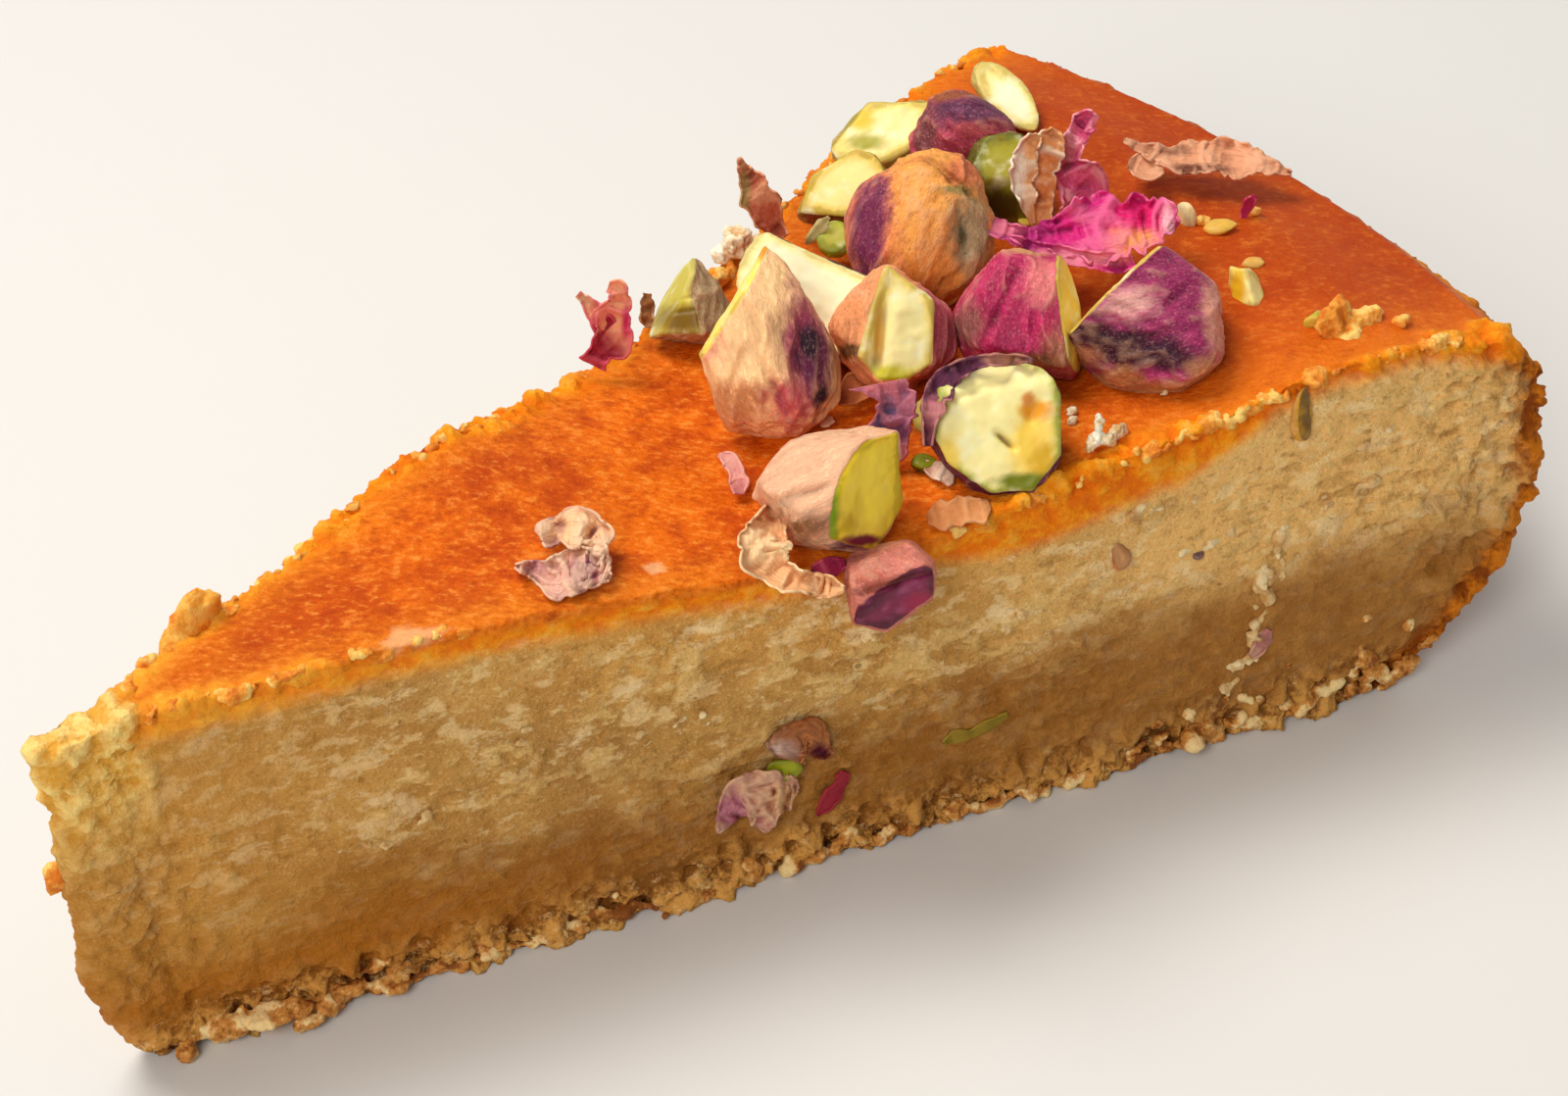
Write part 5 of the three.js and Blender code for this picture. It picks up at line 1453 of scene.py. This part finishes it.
# Small pieces: a crumpled pale petal near the tip, a pink flake, a cream
# curl on the near edge and a flake of purple nut skin.
add_petal(
    "petal_pale_crumpled",
    dict(
        body=(226, 172, 150), edge=(244, 206, 170), heel=(214, 150, 140), heel_at=0.2,
        dark=(150, 84, 100),
        patches=[((1.5, -2.1), (1.0, 1.3), (130, 50, 90)), ((0.8, 0.7), (2.8, 1.5), (244, 196, 146))],
    ),
    dict(
        at=(38.6, -4.8, 32.0),
        path=[
            (-2.0, 0.7, 0.2, 0.2), (-1.1, 0.7, 0.8, 1.0), (0.3, 0.9, 1.3, 1.5), (1.7, 0.8, 1.2, 1.5),
            (2.5, 0.1, 0.9, 1.2), (2.5, -0.8, 0.6, 0.9), (2.2, -1.8, 0.3, 0.4),
        ],
        lips=(0.9, 1.4), lean=-0.9, folds=1.2, pleat=1.3, frill=0.9, seed=7,
    ),
    dict(
        at=(38.6, -4.8, 31.6),
        path=[
            (-3.3, -1.6, 0.1, 0.1), (-2.2, -1.8, 0.5, 0.5), (-0.8, -2.2, 1.3, 1.3), (0.6, -2.1, 1.6, 1.5),
            (1.8, -1.8, 1.9, 1.3), (2.9, -2.2, 1.1, 0.7), (3.4, -2.4, 0.2, 0.2),
        ],
        lips=(0.9, 0.9), lean=-0.9, folds=1.4, pleat=1.3, frill=0.9, seed=27,
    ),
)
add_petal(
    "petal_flake_pink",
    dict(body=(226, 150, 140), edge=(240, 176, 160), heel=(214, 130, 130), dark=(170, 90, 90)),
    dict(
        at=(54.4, -4.6, 29.6),
        path=[
            (-0.2, -1.2, 0.4, 0.4), (-0.2, -0.35, 0.6, 0.6), (-0.4, 0.6, 0.6, 0.6), (-0.9, 1.4, 0.5, 0.5),
            (-1.7, 1.7, 0.1, 0.1),
        ],
        lips=(0.8, 0.8), lean=-1.0, folds=0.4, frill=0.2, seed=8,
    ),
)
add_petal(
    "petal_edge_curl",
    dict(body=(232, 176, 124), edge=(252, 220, 170), heel=(224, 156, 100), dark=(176, 96, 50)),
    dict(
        at=(51.6, -15.0, 30.6),
        path=[
            (-1.9, 3.1, 0.4, 0.3), (-2.0, 1.9, 1.0, 1.0), (-2.4, 0.7, 1.7, 1.4), (-2.3, -0.5, 1.4, 1.5),
            (-1.3, -1.6, 0.8, 0.9), (0.1, -2.2, 0.8, 0.8), (1.7, -2.6, 0.8, 1.0), (3.2, -2.8, 0.2, 0.2),
        ],
        lips=(1.6, 1.8), lean=-0.6, folds=1.2, pleat=1.3, frill=1.0, seed=9,
    ),
)
add_petal(
    "skin_purple_flake",
    dict(
        body=(140, 92, 130), edge=(206, 120, 130), heel=(206, 116, 124), heel_at=0.1, dark=(70, 36, 70),
        patches=[((0.2, -2.4), (0.9, 1.2), (196, 84, 104)), ((-1.0, 0.4), (0.9, 1.2), (96, 76, 110))],
    ),
    dict(
        at=(65.6, -8.8, 31.8),
        path=[
            (-0.65, 2.8, 1.4, 1.9), (-0.4, 1.5, 2.0, 1.1), (-0.4, 0.15, 1.8, 1.2),
            (-0.15, -1.1, 1.3, 1.8), (0.15, -2.2, 0.6, 0.5), (0.0, -3.3, 0.1, 0.1),
        ],
        lips=(1.0, 0.6), lean=0.3, folds=0.6, frill=0.3, seed=10,
    ),
)

# Chips of kernel lie between the larger pieces, where they fell as the nuts
# were chopped, and some went into the cut face with the knife.
def add_chip(name, look, **shape):
    chip = kernel(name, round_off=12, **shape)
    dress(chip, kernel_paint(name + " finish", **look))


add_chip(
    "chip_yellow", at=(95.3, -14.7, 33.7), size=(4.2, 3.2, 2.8), along=(0.08, 0.64, 0.72),
    face=(-0.5, -0.6, 0.6),
    sides=[(188, 0.1, 1.1), (84, 0.2, 1.35), (45, 0.2, 1.1), (10, 0.1, 1.3), (268, 0.1, 1.6)],
    cuts=[(200, 0.9, 0.5), (15, 0.8, 0.5)], shrunk=0.03, seed=11,
    look=dict(
        skin=(250, 228, 140), blush=(250, 228, 140), flesh=(255, 244, 170), rind=(255, 236, 130),
        # The spot is painted shade along its left facet.
        milk=(255, 248, 196), spots=[((-0.75, -0.2), (0.55, 1.6), (240, 196, 40))],
    ),
)

for name, at, size, along, face, sides, cuts, skin, flesh in (
    (
        "chip_cream", (99.3, -3.5, 33.0), (2.4, 1.9, 1.6), (0.2, 0.5, 0.8), (-0.4, -0.6, 0.7),
        [(10, 0.2, 0.75)], [(200, 0.6, 0.35)], (250, 222, 160), (255, 236, 178),
    ),
    (
        "chip_flat_yellow", (100.4, -6.5, 32.9), (2.9, 1.6, 1.2), (0.79, -0.6, 0.1), (-0.3, -0.4, 0.9),
        [(300, 0.2, 0.6)], [(100, 1.2, 0.3)], (238, 170, 56), (250, 200, 84),
    ),
    (
        "chip_thin_yellow", (98.9, -11.8, 32.9), (2.3, 1.1, 0.9), (0.75, -0.5, 0.3), (-0.3, -0.4, 0.9),
        [], [(80, 1.5, 0.15)], (236, 158, 60), (248, 196, 96),
    ),
    (
        "chip_green", (96.3, -21.0, 33.6), (2.6, 1.1, 1.1), (0.75, -0.2, 0.6), (-0.3, -0.6, 0.7),
        [(100, 0.2, 0.4)], [(250, 1.0, 0.4)], LIME, LEMON,
    ),
    (
        "chip_pale_sliver", (68.8, -8.2, 30.4), (3.8, 2.0, 1.6), (-0.2, 0.35, 0.92), (-0.4, -0.7, 0.4),
        [(70, 0.3, 1.4), (290, 0.2, 1.3)], [(185, 1.4, 0.3)], (190, 176, 90), (222, 208, 110),
    ),
    (
        "chip_small_green", (66.2, -11.2, 28.9), (2.0, 1.6, 1.2), (0.8, -0.5, 0.2), (-0.3, -0.5, 0.8),
        [(250, 0.2, 0.6)], [(90, 1.2, 0.4)], OLIVE, LIME,
    ),
    (
        "chip_behind", (90.2, 5.1, 32.1), (1.4, 1.0, 1.0), (0.7, -0.6, 0.2), (-0.3, -0.5, 0.8), [],
        [(80, 1.4, 0.2)], LIME, LEMON,
    ),
    (
        "chip_in_the_cut", (49.8, -14.9, 10.9), (3.2, 2.4, 1.6), (0.9, -0.3, 0.2), (-0.3, -0.9, 0.2),
        [(100, 0.2, 0.7), (20, 0.2, 1.1)], [(280, 2.0, 0.2)], (120, 120, 8), (156, 160, 20),
    ),
    (
        "chip_seed_in_the_cut", (76.3, -21.9, 21.8), (2.8, 1.7, 1.5), (0.2, 0.1, 0.95), (-0.3, -0.9, 0.2),
        [(40, 0.2, 0.5), (200, 0.2, 0.5)], [(300, 2.4, 0.2)], (176, 104, 52), (206, 150, 96),
    ),
    (
        "chip_dark_in_the_cut", (82.8, -23.5, 19.4), (1.0, 0.7, 0.7), (0.9, -0.3, 0.1), (-0.3, -0.9, 0.2),
        [], [], (96, 66, 70), (110, 80, 80),
    ),
    (
        "chip_in_the_crust_edge", (90.5, -26.05, 30.2), (5.0, 1.6, 1.3), (0.1, 0.05, 0.98),
        (-0.3, -0.9, 0.2), [(0, 0.2, 0.5)], [(330, 1.2, 0.35)], (206, 150, 40), (140, 102, 30),
    ),
):
    look = dict(skin=skin, blush=skin, flesh=flesh, rind=flesh, milk=skin)
    shape = dict(at=at, size=size, along=along, face=face, sides=sides, cuts=cuts)
    add_chip(name, look, shrunk=0.06, seed=len(name), **shape)

# So did scraps of kernel skin and of petal: thin, dry and curled like the
# large petals, a few millimetres long.
FLAKE_CELLS = (44, 18)
ON_CRUST = -1.28  # the lean of a sheet flat on the crust
ON_CUT = dict(lean=0.76, aside=-0.5)  # of one flat on the near cut face


def add_flake(name, look, cells=FLAKE_CELLS, **shape):
    flake = petal(name, cells=cells, **shape)
    dress(flake, petal_paint(name + " finish", **look))


add_flake(
    "skin_round_the_face", at=(69.1, -16.1, 33.9), lean=-0.1, folds=0.8, frill=0.7, lips=(1.0, 1.9),
    seed=50,
    path=[
        (-5.0, -1.6, 0.2, 0.2), (-5.0, 0.4, 0.5, 0.7), (-4.7, 2.2, 0.6, 1.1), (-3.3, 3.9, 0.5, 1.0),
        (-1.4, 4.6, 0.4, 0.5), (1.0, 4.8, 0.3, 0.4), (2.6, 4.6, 0.1, 0.1),
    ],
    look=dict(
        body=(92, 34, 64), edge=(190, 130, 120), heel=(150, 80, 90), heel_at=0.2, dark=(40, 14, 30),
        patches=[((-4.6, 1.0), (0.9, 1.0), (190, 110, 120)), ((0.6, 4.8), (1.4, 0.6), (196, 130, 96))],
    ),
)
add_flake(
    "flake_magenta", at=(103.65, -6.15, 33.15), lean=0.4, folds=0.4, lips=(0.8, 0.8), seed=51,
    path=[
        (-0.5, -1.0, 0.1, 0.1), (-0.2, -0.3, 0.35, 0.3), (0.15, 0.4, 0.4, 0.3), (0.5, 0.95, 0.15, 0.15),
    ],
    look=dict(body=(190, 34, 84), edge=(222, 90, 110), heel=(160, 26, 72)),
)
add_flake(
    "flake_brown", at=(67.5, -1.2, 29.6), lean=-0.6, folds=0.4, lips=(0.6, 0.6), seed=52,
    path=[(-1.2, -0.9, 0.2, 0.3), (-0.4, -0.3, 0.9, 0.9), (0.5, 0.3, 1.1, 1.0), (1.1, 0.9, 0.5, 0.6)],
    look=dict(body=(176, 96, 48), edge=(214, 140, 84), heel=(150, 70, 30), dark=(96, 40, 16)),
)
add_flake(
    "flake_pale_skin", at=(64.2, -2.2, 28.7), lean=-0.9, folds=0.2, seed=53,
    path=[(-0.5, -0.2, 0.2, 0.2), (0.0, 0.0, 0.5, 0.4), (0.5, 0.2, 0.2, 0.2)],
    look=dict(body=(230, 170, 130), edge=(244, 196, 160), heel=(220, 150, 110), dark=(180, 100, 70)),
)
add_flake(
    "flake_cream_pink", at=(66.4, -12.7, 29.0), lean=-1.0, folds=0.4, lips=(0.9, 0.6), seed=54,
    path=[(-1.0, 0.4, 0.3, 0.3), (-0.2, 0.2, 0.6, 0.6), (0.5, -0.3, 0.7, 0.5), (0.9, -1.0, 0.2, 0.2)],
    look=dict(body=(230, 190, 160), edge=(246, 220, 196), heel=(206, 140, 120), dark=(170, 100, 84)),
)
add_flake(
    "flake_beige", at=(62.4, 18.2, 29.0), lean=0.2, folds=0.4, lips=(1.0, 0.8), seed=55,
    path=[(0.2, -1.3, 0.3, 0.3), (0.0, -0.5, 0.5, 0.4), (-0.2, 0.5, 0.4, 0.5), (-0.1, 1.4, 0.2, 0.2)],
    look=dict(body=(176, 116, 66), edge=(210, 156, 104), heel=(140, 80, 40), dark=(100, 50, 20)),
)
add_flake(
    "flake_clear", at=(64.3, -17.5, 29.0), lean=ON_CRUST, folds=0.3, lips=(0.4, 0.5), seed=56,
    path=[
        (-2.3, -0.5, 0.3, 0.3), (-1.2, -0.2, 1.0, 0.9), (0.2, 0.1, 1.2, 1.0), (1.5, 0.4, 0.8, 0.9),
        (2.3, 0.6, 0.3, 0.3),
    ],
    look=dict(body=(214, 140, 84), edge=(226, 164, 110), heel=(206, 124, 64), dark=(190, 100, 40)),
)
add_flake(
    "flake_under_the_chunk", at=(53.8, -15.6, 28.2), lean=0.5, folds=0.4, lips=(0.8, 0.8), seed=57,
    path=[(-1.2, -0.3, 0.3, 0.3), (-0.3, -0.2, 0.6, 0.5), (0.5, 0.1, 0.6, 0.6), (1.2, 0.3, 0.2, 0.2)],
    look=dict(body=(166, 30, 76), edge=(206, 90, 110), heel=(140, 20, 60)),
)
add_flake(
    "flake_on_the_green_crumb", at=(76.2, 13.6, 33.0), lean=0.3, folds=0.3, lips=(0.5, 0.5), seed=58,
    path=[(-1.2, -1.0, 0.1, 0.1), (-0.5, -0.2, 0.5, 0.5), (0.2, 0.5, 0.4, 0.4), (0.6, 1.0, 0.1, 0.1)],
    look=dict(body=(206, 190, 120), edge=(230, 216, 160), heel=(180, 160, 90), dark=(130, 110, 50)),
)
add_flake(
    "skin_in_the_cut", at=(50.9, -14.9, 13.1), **ON_CUT, folds=0.9, pleat=1.0, frill=0.8, lips=(0.3, 0.5),
    cells=(100, 60), seed=59,
    path=[
        (-2.3, -0.4, 0.1, 0.2), (-1.4, -0.2, 0.7, 1.2), (0.0, 0.4, 0.8, 2.0), (0.9, 0.4, 1.0, 1.6),
        (1.6, -0.4, 0.9, 1.0), (2.1, -1.0, 0.6, 0.7), (2.3, -1.5, 0.3, 0.2),
    ],
    look=dict(
        body=(190, 122, 70), edge=(130, 62, 18), heel=(190, 140, 110), heel_at=0.2, dark=(96, 40, 10),
        patches=[((1.7, -1.2), (0.8, 0.9), (92, 14, 44)), ((-1.0, -0.7), (1.1, 0.8), (206, 176, 160))],
    ),
)
add_flake(
    "petal_in_the_cut", at=(47.6, -14.1, 8.2), **ON_CUT, folds=1.3, pleat=1.1, frill=1.0, lips=(0.7, 0.7),
    cells=(110, 70), seed=60,
    path=[
        (-2.9, -2.2, 0.1, 0.1), (-2.2, -0.8, 0.9, 0.9), (-1.3, 0.3, 1.5, 1.8), (0.2, 0.6, 1.5, 2.2),
        (1.6, 0.9, 1.3, 1.9), (2.6, 0.9, 0.8, 1.2), (3.0, 0.8, 0.2, 0.2),
    ],
    look=dict(
        body=(206, 150, 130), edge=(226, 182, 140), heel=(184, 120, 124), heel_at=0.3, dark=(130, 64, 70),
        patches=[
            ((-1.8, -0.4), (1.4, 1.2), (190, 116, 132)), ((1.9, 0.2), (1.2, 1.2), (214, 164, 112)),
            ((-1.0, -1.3), (0.8, 0.3), (150, 50, 80)),
        ],
    ),
)
add_flake(
    "petal_sliver_in_the_cut", at=(53.6, -15.5, 6.5), **ON_CUT, folds=0.3, lips=(0.7, 0.7), seed=61,
    path=[
        (-1.2, -1.7, 0.1, 0.1), (-0.6, -0.9, 0.4, 0.4), (0.1, 0.0, 0.6, 0.6), (0.6, 1.0, 0.5, 0.5),
        (0.9, 1.7, 0.2, 0.2),
    ],
    look=dict(body=(146, 26, 44), edge=(176, 44, 60), heel=(120, 20, 40), dark=(70, 6, 20)),
)
add_flake(
    "skin_strip_in_the_cut", at=(65.1, -18.6, 8.3), **ON_CUT, folds=0.2, frill=0.1, lips=(0.5, 0.5),
    seed=62,
    path=[
        (-2.6, -0.8, 0.1, 0.2), (-1.8, -0.4, 0.5, 0.4), (-0.4, -0.1, 0.3, 0.4), (1.0, 0.5, 0.4, 0.3),
        (2.4, 1.3, 0.2, 0.2),
    ],
    look=dict(body=(146, 120, 22), edge=(170, 140, 44), heel=(130, 120, 20), dark=(90, 70, 10)),
)
add_flake(
    "petal_fleck_in_the_cut", at=(88.4, -25.3, 8.8), **ON_CUT, folds=0.3, lips=(0.6, 0.6), seed=63,
    path=[(-0.8, -1.0, 0.2, 0.2), (-0.2, -0.3, 0.6, 0.5), (0.2, 0.4, 0.6, 0.6), (0.5, 1.1, 0.2, 0.2)],
    look=dict(body=(196, 128, 116), edge=(226, 176, 150), heel=(180, 100, 96), dark=(140, 80, 70)),
)
